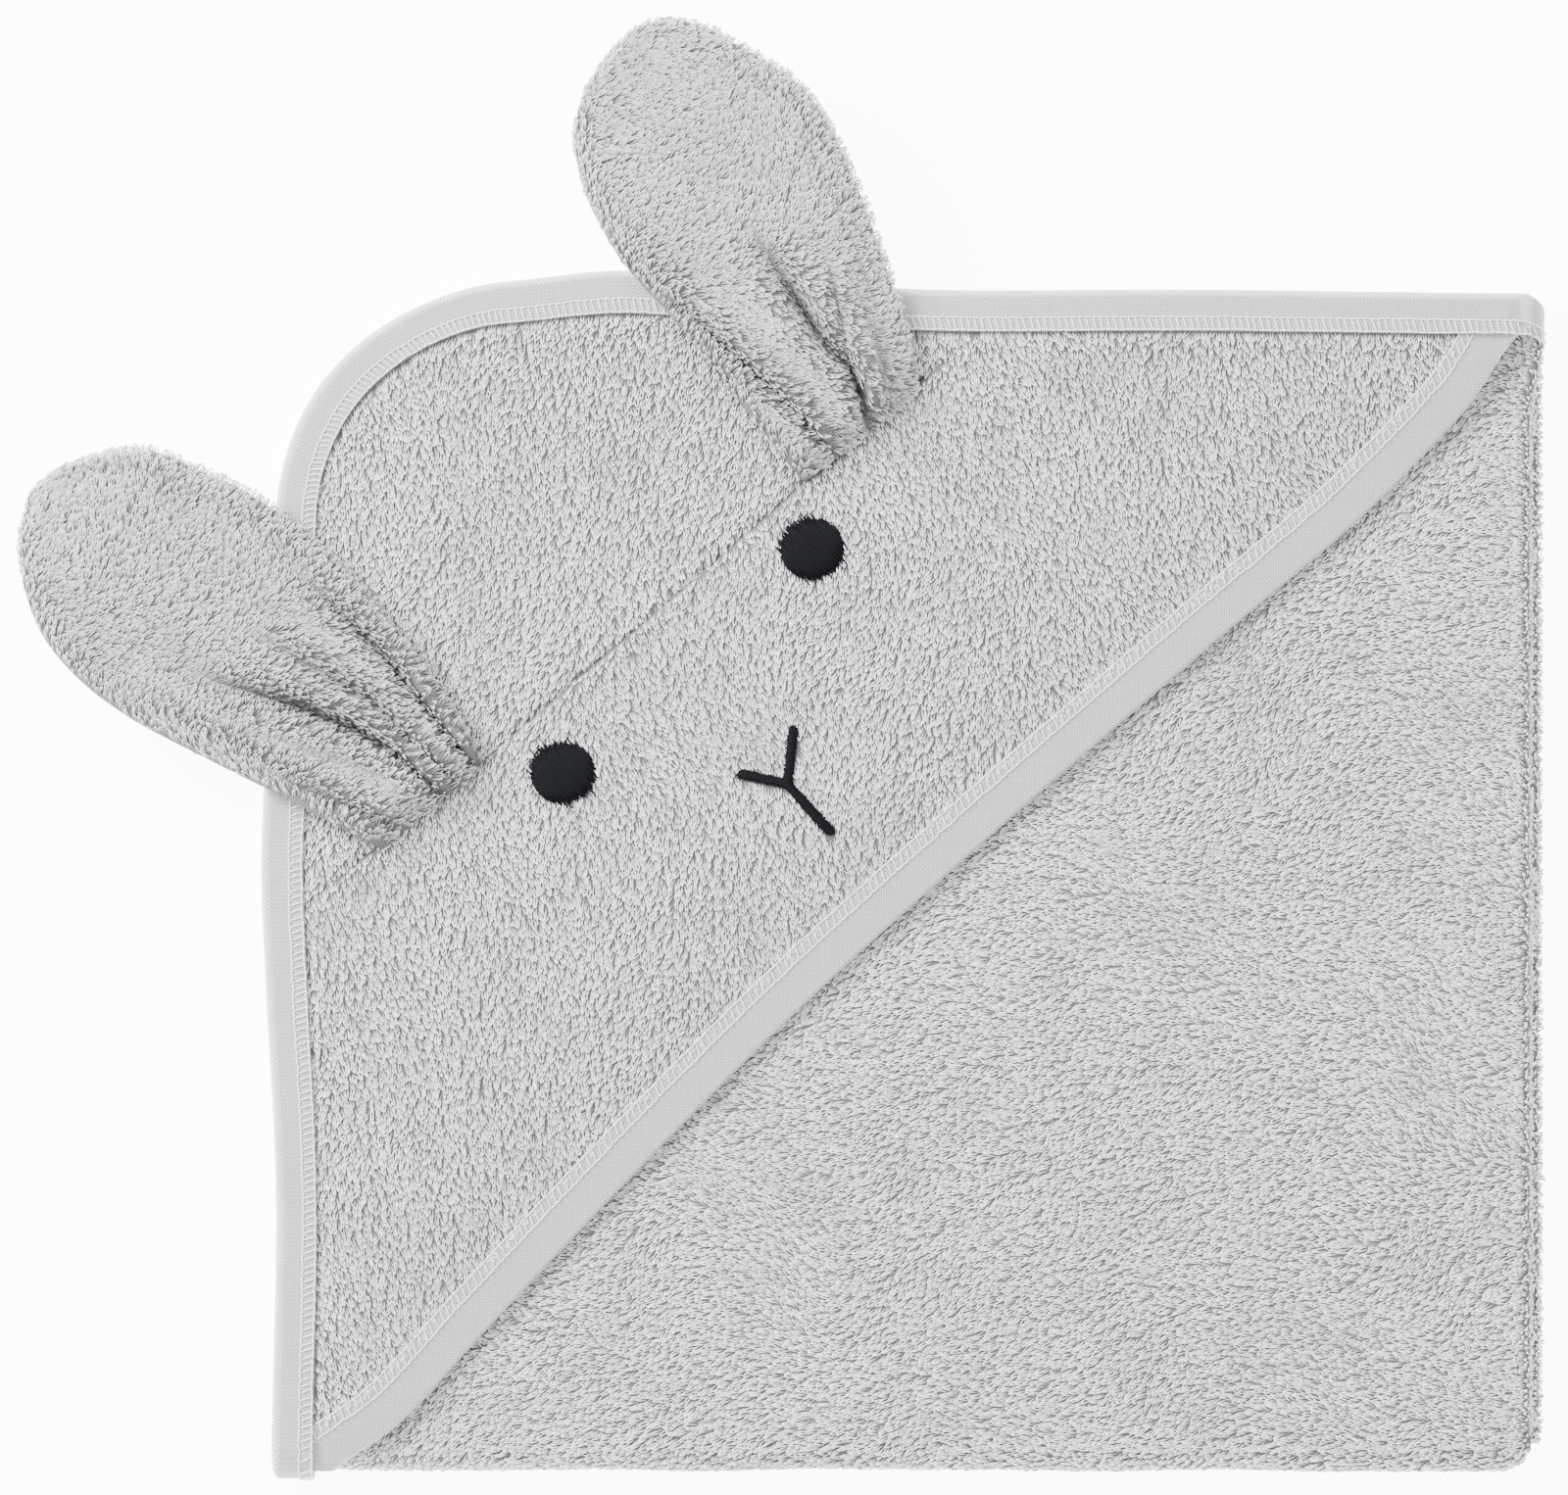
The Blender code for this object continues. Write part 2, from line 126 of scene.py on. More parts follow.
# Places along the left edge (Y) and the top edge (X), and how far the edge moves right or up there
LEFT_SWAY = (
    (BOTTOM, 0.0), (-0.086, 1.2 * MM), (-0.028, -1.8 * MM), (0.002, -3.0 * MM), (0.045, -1.4 * MM),
    (0.112, 1.2 * MM), (TOP, 0.0),
)
TOP_SWAY = (
    (LEFT, 0.0), (-0.150, 0.2 * MM), (-0.115, 3.3 * MM), (-0.086, 6.2 * MM), (-0.055, 4.2 * MM),
    (0.000, 0.8 * MM), (0.080, 0.6 * MM), (RIGHT, -0.5 * MM),
)
SWAY_REACH = 0.07  # how far in from an edge its sway is felt

# Each ear's outline as distances along it and across it, from one end of its base round the tip to the
# other end, starting on the side towards the other ear. tip is the outline's point at the tip. Then its
# pleats, each with the line it follows, its depth and its half width, and the side where loops stand out
# from its edge: -1 towards the other ear, 1 away from it. All in millimetres.
EAR_SHAPES = {
    "left": {
        "turn": math.radians(142.6),
        "tip": 8,
        "outline": (
            (-4.6, -17.5), (5, -22.0), (22, -28.2), (41, -33.2), (63, -38.0), (90, -39.8), (112, -36.0),
            (131, -29.5), (147, -7.0), (142.5, 11.5), (126, 26.5), (108, 32.6), (86, 33.0), (59, 28.5),
            (33, 23.5), (15, 20.8), (3.2, 18.8),
        ),
        "pleats": (
            (((-6, -15.5), (10, -19.5), (34, -25.5), (52, -28), (80, -30)), 5.4, 2.3),
            (((0, -9), (12, -10.5), (31, -13.3), (45, -11.5), (62, -9), (80, -6)), 5.2, 2.5),
            (((-4, -4), (4, -4.2), (18, -5.8), (29, -4.2), (46, 0.2), (69, 9), (84, 14)), 8.0, 3.1),
            (((0, 10), (19, 15.5), (34, 20), (52, 22.5)), 3.2, 2.6),
        ),
        "furry": -1,
    },
    "right": {
        "turn": math.radians(114.5),
        "tip": 7,
        "outline": (
            (-5.8, -20.0), (10, -24.0), (31, -29.3), (55, -35.4), (78, -42.0), (103, -42.4), (122, -33.5),
            (134, -13.0), (132, 1.5), (119, 14.0), (97, 27.0), (71, 29.0), (40, 26.6), (20, 23.6), (5, 20.0),
        ),
        "pleats": (
            (((4, 3.5), (10, 4.5), (17, 5), (32, 1.6), (44, -0.2), (55, -2.2), (74, -6)), 7.6, 3.2),
            (((13, 6.5), (27, 8), (38, 9), (44, 10.1), (54, 12)), 4.2, 2.0),
            (((-4, -8.5), (3.5, -11.4), (18, -15.9), (36, -23.7), (51, -30.2), (63, -36), (78, -41)), 4.6, 2.2),
        ),
        "furry": 1,
    },
}
EAR_PUFF = 2.7 * MM  # half the ear's thickness
EAR_ROLL = 7.4 * MM  # from the ear's edge to the groove left by its seam
EAR_SAG = 3.5 * MM  # how far the tip hangs
EAR_RISE = 9 * MM  # length over which it rises from the seam

# The face, from the middle of the crown seam
EYE_SIZE = np.array([19.0, 18.0]) * MM
NOSE_STROKE = 2.7 * MM
NOSE_BARS = ((2.0, 16.9), (-14.4, 3.1), (13.4, -14.8))  # from the nose's middle, in millimetres
# How far the stitches lie from their places in the frame, in millimetres
FACE_SHIFTS = {"left_eye": (1.2, 1.0), "right_eye": (-0.2, 2.4), "nose": (0.9, 0.1)}
FACE_THREAD = 0.42 * MM

# Finishes
GROUND_PITCH = 0.8 * MM  # between the threads of the woven ground
BIAS_WEAVE = math.radians(45), 0.80 * MM  # slant and pitch of the tape's threads
STRAIGHT_WEAVE = math.radians(43), 0.72 * MM
THREAD_TWIST = 0.5 * MM  # length of one turn of the sewing thread
HOOD_ROWS, HOOD_COLUMNS = 90, 130  # points of a hood panel's cloth
HIDDEN_LOOPS = 2.5  # how much coarser the loops are between the layers and underneath

# The stage, in metres and watts
FLOOR_REACH = 3.0
CAMERA_HEIGHT = 2.2
CAMERA_MARGIN = 1.0215  # width of the view over the width of the frame
STUDIO_LIGHT = 2.05
LAMPS = (  # name, place, power and size
    ("key", (-1.3, 1.0, 1.1), 125, 0.9),
    ("fill", (1.3, -0.7, 1.6), 8, 1.4),
)


def length(name, description, default):
    return FloatProperty(name=name, description=description, default=default, unit="LENGTH")


def colour(name, description, default):
    return FloatVectorProperty(name=name, description=description, default=default, subtype="COLOR")


class TowelLook(bpy.types.PropertyGroup):
    """Sizes and colours of the towel's finish."""

    loop_spacing: length("Loop spacing", "Distance between neighbouring loops of the terry", 1.38 * MM)
    loop_length: length("Loop length", "How far a loop reaches from its root", 2.65 * MM)
    loop_yarn: length("Loop yarn", "Radius of the yarn that makes the loops", 0.24 * MM)
    stitch_pitch: length("Stitch pitch", "Length of one stitch of the cover stitch", 2.05 * MM)
    stitch_thread: length("Stitch thread", "Radius of the sewing thread", 0.25 * MM)
    terry_colour: colour("Terry", "Colour of the loops", (0.88, 0.88, 0.885))
    # painted shade: the ground's colour is kept dark for the shade in the gaps between the loops
    ground_shade_colour: colour("Ground", "Colour between the loops", (0.15, 0.15, 0.153))
    tape_colour: colour("Tape", "Colour of the binding tape", (0.47, 0.47, 0.474))
    thread_colour: colour("White thread", "Colour of the cover stitch", (0.95, 0.95, 0.95))
    face_colour: colour("Face thread", "Colour of the eyes and nose", (0.0022, 0.0022, 0.003))


# Curves and noise


def through(x, stops):
    """A smooth curve through (place, value) stops."""
    places, values = np.array(stops, float).T
    slopes = np.gradient(values, places)
    slopes[[0, -1]] = 0
    x = np.clip(x, places[0], places[-1])
    i = np.clip(np.searchsorted(places, x) - 1, 0, len(places) - 2)
    step = places[i + 1] - places[i]
    t = (x - places[i]) / step
    rise = values[i] * (1 + 2 * t) * (1 - t) ** 2 + values[i + 1] * t * t * (3 - 2 * t)
    return rise + step * t * (1 - t) * (slopes[i] * (1 - t) - slopes[i + 1] * t)


def ease(x):
    """A smooth step from 0 to 1."""
    x = np.clip(x, 0, 1)
    return x * x * (3 - 2 * x)


def noise(x, y, size, seed):
    """Smooth noise from -1 to 1, with patches about size wide."""
    grid = np.random.default_rng(seed).uniform(-1, 1, (64, 64))
    column, row = np.floor(x / size).astype(int), np.floor(y / size).astype(int)
    across, up = ease(x / size - column), ease(y / size - row)
    near = grid[column % 64, row % 64] * (1 - across) + grid[(column + 1) % 64, row % 64] * across
    far = grid[column % 64, (row + 1) % 64] * (1 - across) + grid[(column + 1) % 64, (row + 1) % 64] * across
    return near * (1 - up) + far * up


def unit(vectors):
    """Vectors made 1 long."""
    return vectors / np.maximum(np.linalg.norm(vectors, axis=-1, keepdims=True), 1e-12)


# The packet's plan


def edge_distance(x, y):
    """Distance in from the packet's taped edge, before its sway."""
    straight = np.minimum(x - LEFT, TOP - y)
    from_corner = CORNER_RADIUS - np.hypot(x - CORNER[0], y - CORNER[1])
    return np.where((x < CORNER[0]) & (y > CORNER[1]), from_corner, straight)


MOUTH_START = np.array([LEFT + MOUTH_FOOT, BOTTOM])
MOUTH_END = np.array([RIGHT - MOUTH_HEAD, TOP - TAPE_WIDTH])
MOUTH_LENGTH = np.linalg.norm(MOUTH_END - MOUTH_START)
MOUTH_ALONG = (MOUTH_END - MOUTH_START) / MOUTH_LENGTH
MOUTH_OUT = np.array([MOUTH_ALONG[1], -MOUTH_ALONG[0]])


def mouth_distance(x, y):
    """Distance in from the hood's mouth, and the share of its length."""
    to = np.stack([x - MOUTH_START[0], y - MOUTH_START[1]], -1)
    share = to @ MOUTH_ALONG / MOUTH_LENGTH
    return through(share, MOUTH_SWAY) - to @ MOUTH_OUT, share


def mouth_plan(share, inset):
    """The point of the mouth at a share of its length, inset from its edge."""
    out = through(share, MOUTH_SWAY) - inset
    share, out = np.broadcast_arrays(share, out)
    return MOUTH_START + share[..., None] * MOUTH_LENGTH * MOUTH_ALONG + out[..., None] * MOUTH_OUT


def seam_distance(x, y):
    """Distance from the crown seam, positive on the crown."""
    base = EAR_BASES["left"]
    return (x - base[0]) * SEAM_UP[0] + (y - base[1]) * SEAM_UP[1]


def corner_cut(y):
    """How far the rounded bottom right corner falls short of the packet's right edge."""
    below = np.clip(BOTTOM + PACKET_CORNER - y, 0, PACKET_CORNER)
    return PACKET_CORNER - np.sqrt(PACKET_CORNER**2 - below**2)


def upper_edge(y):
    """How far right the upper side fold reaches."""
    return UPPER_FOLD + FOLD_FLARE * ease((y - TOP + 3 * TAPE_WIDTH) / (2 * TAPE_WIDTH)) - corner_cut(y)


def lower_edge(y):
    """How far right the lower side fold reaches."""
    return RIGHT - corner_cut(y)


def swayed(points):
    """Moves points near the left and top edges, which aren't quite straight."""
    x, y = points[..., 0], points[..., 1]
    moved = points.copy()
    moved[..., 0] += through(y, LEFT_SWAY) * (1 - ease((x - LEFT) / SWAY_REACH))
    moved[..., 1] += through(x, TOP_SWAY) * (1 - ease((TOP - y) / SWAY_REACH))
    return moved


def raised(x, y, z):
    """Swayed points from their coordinates."""
    x, y, z = np.broadcast_arrays(x, y, z)
    return swayed(np.stack([x, y, z], -1))


# Heights


def layer_height(x, y):
    """The top layer's ground, a little uneven."""
    calm = ease((edge_distance(x, y) - TAPE_WIDTH) / 0.03)
    waves = 0.35 * noise(x, y, 0.07, 3) + 0.15 * noise(x, y, 0.025, 4)
    return LAYER_Z[1] + waves * MM * calm


def hood_height(x, y):
    """The middle of the hood's cloth."""
    inward, _ = mouth_distance(x, y)
    edge = edge_distance(x, y)
    seam = seam_distance(x, y)
    calm = ease((edge - TAPE_WIDTH) / 0.03) * ease((inward - MOUTH_TAPE_WIDTH) / 0.03)
    waves = 0.7 * noise(x, y, 0.085, 5) + 0.3 * noise(x, y, 0.03, 6)
    drop = HOOD_DROP * (1 - ease(inward / HOOD_DROP_REACH)) * ease(edge / 0.05)
    groove = 1.2 * MM * np.exp(-((seam / (1.2 * MM)) ** 2)) * ease((edge - TAPE_WIDTH) / 0.01)
    tuck = 1.3 * MM * (1 - ease((edge - TAPE_WIDTH + MM) / (6 * MM)))
    foot = 3.5 * MM * np.clip((BOTTOM + 12 * MM - y) / (12 * MM), 0, 1) ** 2
    band = 0.6 * MM * np.exp(-(((seam + SEAM_BAND / 2) / (SEAM_BAND / 2.4)) ** 2))
    pucker = 0.25 * MM * noise(x, y, 4 * MM, 7) * np.exp(-np.abs(seam) / (6 * MM))
    return HOOD_Z + waves * MM * calm - drop - groove - tuck - foot + band + pucker


# Meshes


def new_object(name, points, faces, material):
    """A mesh object from arrays of points and of faces with equally many corners."""
    mesh = bpy.data.meshes.new(name)
    points = np.asarray(points, np.float32).reshape(-1, 3)
    faces = np.asarray(faces, np.int32)
    mesh.vertices.add(len(points))
    mesh.vertices.foreach_set("co", points.ravel())
    mesh.loops.add(faces.size)
    mesh.loops.foreach_set("vertex_index", faces.ravel())
    mesh.polygons.add(len(faces))
    mesh.polygons.foreach_set("loop_start", np.arange(len(faces), dtype=np.int32) * faces.shape[1])
    mesh.polygons.foreach_set("use_smooth", np.ones(len(faces), bool))
    mesh.update(calc_edges=True)
    mesh.materials.append(material)
    obj = bpy.data.objects.new(name, mesh)
    bpy.context.scene.collection.objects.link(obj)
    return obj


def grid_faces(rows, columns, closed=False):
    """Quads of a grid whose points run row by row; closed joins the last column to the first."""
    row = np.arange(rows - 1)[:, None]
    column = np.arange(columns if closed else columns - 1)[None, :]
    following = (column + 1) % columns
    corners = [
        row * columns + column,
        row * columns + following,
        (row + 1) * columns + following,
        (row + 1) * columns + column,
    ]
    return np.stack([c.ravel() for c in corners], -1)


def set_map(obj, name, points):
    """A UV map from one (u, v) for each point."""
    mesh = obj.data
    layer = mesh.uv_layers.new(name=name)
    corners = np.empty(len(mesh.loops), np.int32)
    mesh.loops.foreach_get("vertex_index", corners)
    layer.data.foreach_set("uv", np.asarray(points, np.float32).reshape(-1, 2)[corners].ravel())


def tubes(lines, radii, ups, sides):
    """Points and faces of round yarns along many lines at once. lines is (yarns, points, 3)."""
    yarns, count, _ = lines.shape
    along = unit(np.gradient(lines, axis=1))
    across = unit(np.cross(along, ups))
    over = np.cross(across, along)
    turn = 2 * math.pi * (np.arange(sides) + 0.25) / sides
    ring = across[:, :, None] * np.cos(turn)[:, None] + over[:, :, None] * np.sin(turn)[:, None]
    points = lines[:, :, None] + ring * np.broadcast_to(radii, (yarns, count))[:, :, None, None]
    faces = grid_faces(count, sides, closed=True)
    offsets = np.arange(yarns)[:, None, None] * count * sides
    return points, (faces[None] + offsets).reshape(-1, 4)


def flat_map(obj, points):
    """A bake map that looks down on the piece, leaning so that upright faces keep some width."""
    flat = points[:, :2] + points[:, 2:] * np.array([0.31, 0.23])
    low, high = flat.min(0), flat.max(0)
    set_map(obj, "OFBake", 0.02 + 0.96 * (flat - low) / (high - low).max())


# Terry loops


def scattered(u_range, v_range, spacing_u, spacing_v, seed):
    """A jittered grid over a rectangle."""
    rng = np.random.default_rng(seed)
    columns = max(2, round((u_range[1] - u_range[0]) / spacing_u))
    rows = max(2, round((v_range[1] - v_range[0]) / spacing_v))
    column, row = np.meshgrid(np.arange(columns), np.arange(rows), indexing="ij")
    stagger = 0.5 * (row % 2)
    u = (column + 0.25 + stagger * 0.5 + rng.uniform(-0.3, 0.3, column.shape)) / columns
    v = (row + 0.5 + rng.uniform(-0.3, 0.3, row.shape)) / rows
    u = u_range[0] + (u_range[1] - u_range[0]) * u
    v = v_range[0] + (v_range[1] - v_range[0]) * v
    return u.ravel(), v.ravel()


def tangents(surface, u, v, step_u, step_v):
    """Unit vectors along u and out of the surface."""
    along = surface(u + step_u, v) - surface(u - step_u, v)
    other = surface(u, v + step_v) - surface(u, v - step_v)
    out = unit(np.cross(along, other))
    return unit(along), out


def loop_gap(look):
    return look.loop_spacing * 1.0


def terry_loops(name, surface, u, v, nap, look, seed, steps=5, size=1.0, span=(MM, MM), lie=1.0, stand=0.0, tone=1.0):
    """Loops of yarn standing on surface(u, v). nap is the angle at which they lie, from u's direction, lie
    how high they stand, stand how far their roots are from the surface, and tone how light they are."""
    rng = np.random.default_rng(seed)
    count = len(u)
    along, out = tangents(surface, u, v, *span)
    roots = surface(u, v) + out * stand
    beside = np.cross(out, along)
    angle = nap + rng.normal(0, 0.24, count)
    forward = along * np.cos(angle)[:, None] + beside * np.sin(angle)[:, None]
    side = np.cross(out, forward)
    plan = roots[:, 0], roots[:, 1]
    patch = noise(*plan, 9 * MM, seed + 1) + 0.6 * noise(*plan, 22 * MM, seed + 2)
    length = look.loop_length * size * rng.uniform(0.75, 1.3, count)
    width = look.loop_length * size * rng.uniform(0.24, 0.42, count)
    lift = look.loop_length * 0.29 * size * lie * rng.uniform(0.6, 1.3, count) * (1 + 0.2 * patch)
    t = np.linspace(0, 1, steps + 1)
    reach = np.sin(math.pi * t) ** 0.8
    rise = 1 - (1 - reach) ** 2.5 - 0.32 * reach**3
    sway = rng.normal(0, 0.12, count)
    aside = width[:, None] * (np.cos(math.pi * t) / 2)[None] + (length * sway)[:, None] * reach**2
    lines = (
        roots[:, None]
        + side[:, None] * aside[..., None]
        + forward[:, None] * (length[:, None] * reach[None])[..., None]
        + out[:, None] * (lift[:, None] * rise[None])[..., None]
    )
    radii = look.loop_yarn * size * rng.uniform(0.85, 1.15, (count, 1)) * (0.8 + 0.25 * reach)
    points, faces = tubes(lines, radii, out[:, None], 3)
    obj = new_object(name, points, faces, MATERIALS["loops"])
    tone = tone * (1 + rng.normal(0, 0.09, count) + 0.05 * patch)
    thin = np.clip(0.5 - 0.5 * patch, 0, 1) ** 3
    # painted shade: each loop darkens towards its roots, where shade falls between the loops; tone and thin vary at
    # random
    shade = tone[:, None] * (0.34 + 0.66 * reach) * (1 - 0.10 * thin[:, None])
    attribute = obj.data.attributes.new("shade", "FLOAT", "POINT")
    attribute.data.foreach_set("value", np.repeat(shade, 3).astype(np.float32))
    flat_map(obj, points.reshape(-1, 3))
    return obj


# Materials

MATERIALS = {}


class Value:
    """A shader's socket. Arithmetic on it adds Math nodes."""

    def __init__(self, shader, socket):
        self.shader = shader
        self.socket = socket

    def maths(self, operation, *others):
        sockets = dict(enumerate([self, *others]))
        return self.shader.node("ShaderNodeMath", {"operation": operation}, sockets)

    def __add__(self, other):
        return self.maths("ADD", other)

    def __sub__(self, other):
        return self.maths("SUBTRACT", other)

    def __rsub__(self, other):
        return self.shader.node("ShaderNodeMath", {"operation": "SUBTRACT"}, {0: other, 1: self})

    def __mul__(self, other):
        return self.maths("MULTIPLY", other)

    __radd__ = __add__
    __rmul__ = __mul__


class Shader:
    """A material with a Principled BSDF, and the one way in which nodes are added to it."""

    def __init__(self, name, **constants):
        self.material = bpy.data.materials.new(name)
        self.material.use_nodes = True
        self.tree = self.material.node_tree
        self.surface = self.tree.nodes["Principled BSDF"]
        for socket, value in constants.items():
            self.surface.inputs[socket.replace("_", " ")].default_value = value
        MATERIALS[name] = self.material

    def node(self, kind, settings=(), sockets=(), output=0):
        """Adds a node, with its settings first and then the values or links of its sockets."""
        made = self.tree.nodes.new(kind)
        for name, value in dict(settings).items():
            setattr(made, name, value)
        for key, value in dict(sockets).items():
            self.feed(made.inputs[key], value)
        return Value(self, made.outputs[output])

    def feed(self, socket, value):
        """Links a value to a socket, or sets a constant on it."""
        if isinstance(value, Value):
            self.tree.links.new(value.socket, socket)
        else:
            socket.default_value = value

    def place(self):
        """The place on the object, in metres."""
        return self.node("ShaderNodeTexCoord", output="Object")

    def split(self, vector):
        """A vector's first two coordinates."""
        return [self.node("ShaderNodeSeparateXYZ", {}, {0: vector}, axis) for axis in "XY"]

    def cloud(self, scale, detail=2.0):
        """Noise from 0 to 1. scale is in patches per metre."""
        sockets = {"Vector": self.place(), "Scale": scale, "Detail": detail}
        return self.node("ShaderNodeTexNoise", {}, sockets, "Fac")

    def finish(self, colour, tone, height=None, depth=0.0, strength=1.0, roughness=None):
        """Feeds the surface: colour times tone, the relief's height and depth, and the roughness."""
        grey = self.node("ShaderNodeCombineXYZ", {}, {0: tone, 1: tone, 2: tone})
        tinted = self.node("ShaderNodeVectorMath", {"operation": "MULTIPLY"}, {0: tuple(colour), 1: grey})
        self.feed(self.surface.inputs["Base Color"], tinted)
        if height:
            relief = {"Height": height, "Distance": depth, "Strength": strength}
            self.feed(self.surface.inputs["Normal"], self.node("ShaderNodeBump", {}, relief))
        if roughness:
            self.feed(self.surface.inputs["Roughness"], roughness)


def loops_finish(look):
    """Cotton yarn: its shade attribute holds a little variation from loop to loop, painted shade at the roots and in
    the ears' creases and a painted sheen where loops lie flat; with fine fibres.
    """
    shader = Shader("loops", Roughness=0.9, Specular_IOR_Level=0.2, Sheen_Weight=0.25, Sheen_Roughness=0.6)
    shade = shader.node("ShaderNodeAttribute", {"attribute_name": "shade"}, output="Fac")
    fibres = shader.cloud(2600, 3)
    tone = shade * (0.9 + 0.2 * fibres)
    shader.finish(look.terry_colour, tone, fibres, 0.15 * MM, 0.5, roughness=0.82 + 0.16 * fibres)


def ground_finish(look):
    """The woven ground that holds the loops, seen only between them. Its colour is darkened as painted shade for the
    gaps between the loops, and its tone follows its threads' relief, a painted shade in their hollows.
    """
    shader = Shader("ground", Roughness=0.95, Specular_IOR_Level=0.15)
    warp, weft = ((place * (math.pi / GROUND_PITCH)).maths("SINE") for place in shader.split(shader.place()))
    threads = warp * weft
    # painted shade: the tone follows the threads' relief, darker in its hollows
    tone = 0.75 + 0.3 * shader.cloud(90) + 0.12 * threads
    shader.finish(look.ground_shade_colour, tone, threads, 0.2 * MM, 0.6)


def weave_finish(name, look, slant, pitch):
    """Plain woven tape. slant turns its threads from the tape's own direction."""
    shader = Shader(name, Roughness=0.8, Specular_IOR_Level=0.25, Sheen_Weight=0.12)
    weave = shader.node("ShaderNodeUVMap", {"uv_map": "weave"})
    along, across = shader.split(weave)
    turn, lean = math.cos(slant) * math.pi / pitch, math.sin(slant) * math.pi / pitch
    warp = along * turn + across * lean
    weft = across * turn - along * lean
    over = (warp.maths("SINE") * weft.maths("SINE")).maths("GREATER_THAN", 0.0)
    warp_round = warp.maths("COSINE").maths("ABSOLUTE")
    weft_round = weft.maths("COSINE").maths("ABSOLUTE")
    height = over * warp_round + (1 - over) * weft_round
    slubs = shader.cloud(500, 3)
    # painted shade: the tone follows the weave's height, darker in the hollows between threads; slubs and clouds vary
    # at random
    tone = 0.40 + 0.66 * height + 0.14 * slubs + 0.08 * shader.cloud(60)
    shader.finish(look.tape_colour, tone, height, 0.2 * MM, roughness=0.72 + 0.16 * slubs)


def thread_finish(name, colour, roughness, sheen):
    """Twisted sewing thread: fine slanting ridges along it."""
    shader = Shader(name, Specular_IOR_Level=0.08, Sheen_Weight=sheen)
    turns = shader.node("ShaderNodeUVMap", {"uv_map": "thread"})
    along, around = shader.split(turns)
    twist = (along * (2 * math.pi / THREAD_TWIST) + around * (2 * math.pi)).maths("SINE")
    fuzz = shader.cloud(1500, 3)
    # painted shade: the tone follows the twist, darker in its grooves; fuzz varies at random
    tone = 0.86 + 0.10 * twist + 0.16 * fuzz
    shader.finish(colour, tone, twist, 0.05 * MM, 0.6, roughness=roughness + 0.15 * fuzz)


def floor_finish():
    """Pale matt table, lit a little from below."""
    shader = Shader("floor", Roughness=0.9, Emission_Color=(1, 1, 1, 1), Emission_Strength=9.0)
    shader.finish((0.93, 0.93, 0.93), 0.99 + 0.02 * shader.cloud(6))


# Cloth


def cloth(name, points, rows, columns):
    """A solid sheet from a grid of points in the middle of the cloth."""
    obj = new_object(name, points, grid_faces(rows, columns), MATERIALS["ground"])
    weld = obj.modifiers.new("weld", "WELD")
    weld.merge_threshold = 0.02 * MM
    solid = obj.modifiers.new("thickness", "SOLIDIFY")
    solid.thickness = GROUND
    solid.offset = 0
    return obj


def fold_line(edge, y):
    """Where a half of the towel leaves the level for its side fold."""
    return edge(y) - CLOTH / 2 - FOLD_RADIUS


def half_surface(upper, lower, edge):
    """Two layers joined by their side fold, as a surface of distance along the cloth and Y.
    The first is 0 to 1 on the upper layer, 1 to 2 round the fold and 2 to 3 on the lower one."""
    radius = CORNER_RADIUS - TAPE_WIDTH / 2
    middle = (LAYER_Z[upper] + LAYER_Z[lower]) / 2

    def surface(place, y):
        place, y = np.broadcast_arrays(np.asarray(place, float), np.asarray(y, float))
        right = fold_line(edge, y)
        left = CORNER[0] - np.sqrt(radius**2 - np.clip(y - CORNER[1], 0, radius) ** 2)
        on_upper, on_lower = np.clip(place, 0, 1), np.clip(place - 2, 0, 1)
        turn = math.pi * np.clip(place - 1, 0, 1)
        x = np.where(place > 1.5, right - (right - left) * on_lower, left + (right - left) * on_upper)
        x = x + FOLD_RADIUS * np.sin(turn)
        z = middle + FOLD_RADIUS * np.cos(turn)
        if upper == 1:
            z = z + (layer_height(x, y) - LAYER_Z[1]) * (place <= 1)
        return raised(x, y, z)

    return surface


def fold_rows(count):
    """Places across a half of the towel: even on the layers, close together round the fold."""
    layer = np.linspace(0, 1, count, endpoint=False)
    return np.concatenate([layer, np.linspace(1, 2, 11), 2 + layer[1:], [3.0]])


def nap_field(x, y, base, swing, seed):
    """Which way the loops lie: a base direction that wanders."""
    wander = noise(x, y, 38 * MM, seed) + 0.6 * noise(x, y, 15 * MM, seed + 1)
    return base + swing * wander


def top_nap(x, y):
    """How the loops lie on the top layer and round its folds."""
    return nap_field(x, y, math.pi + 0.15, 0.6, 31)


def level_loops(name, height, inside, nap, look, seed, facing=1, coarse=1.0, lie=None):
    """Loops on the top (facing 1) or the underside (-1) of a level layer, wherever inside(x, y) holds."""
    gap = loop_gap(look) * coarse
    x, y = scattered((LEFT, RIGHT), (BOTTOM, TOP), gap * 1.05, gap * 0.95, seed)
    kept = inside(x, y)
    x, y = x[kept], y[kept]

    def surface(u, v):
        level = height(u, v) if callable(height) else height
        return raised(u * facing, v, level + facing * GROUND / 2)

    flatness = 1.0 if lie is None else lie(x, y)
    return terry_loops(
        name,
        surface,
        x * facing,
        y,
        nap(x, y),
        look,
        seed + 10,
        steps=4,
        size=coarse**0.85,
        lie=flatness,
        # painted sheen: loops that lie flatter are made lighter
        tone=1 + 0.1 * (1 - flatness),
    )


def ride_terry(pieces, body):
    """Puts cloth and its loops on a body."""
    for piece in pieces:
        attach(piece, body)


def bend_round_end(piece, upper, lower):
    """Bakes the piece's place into its points."""
    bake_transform(piece)


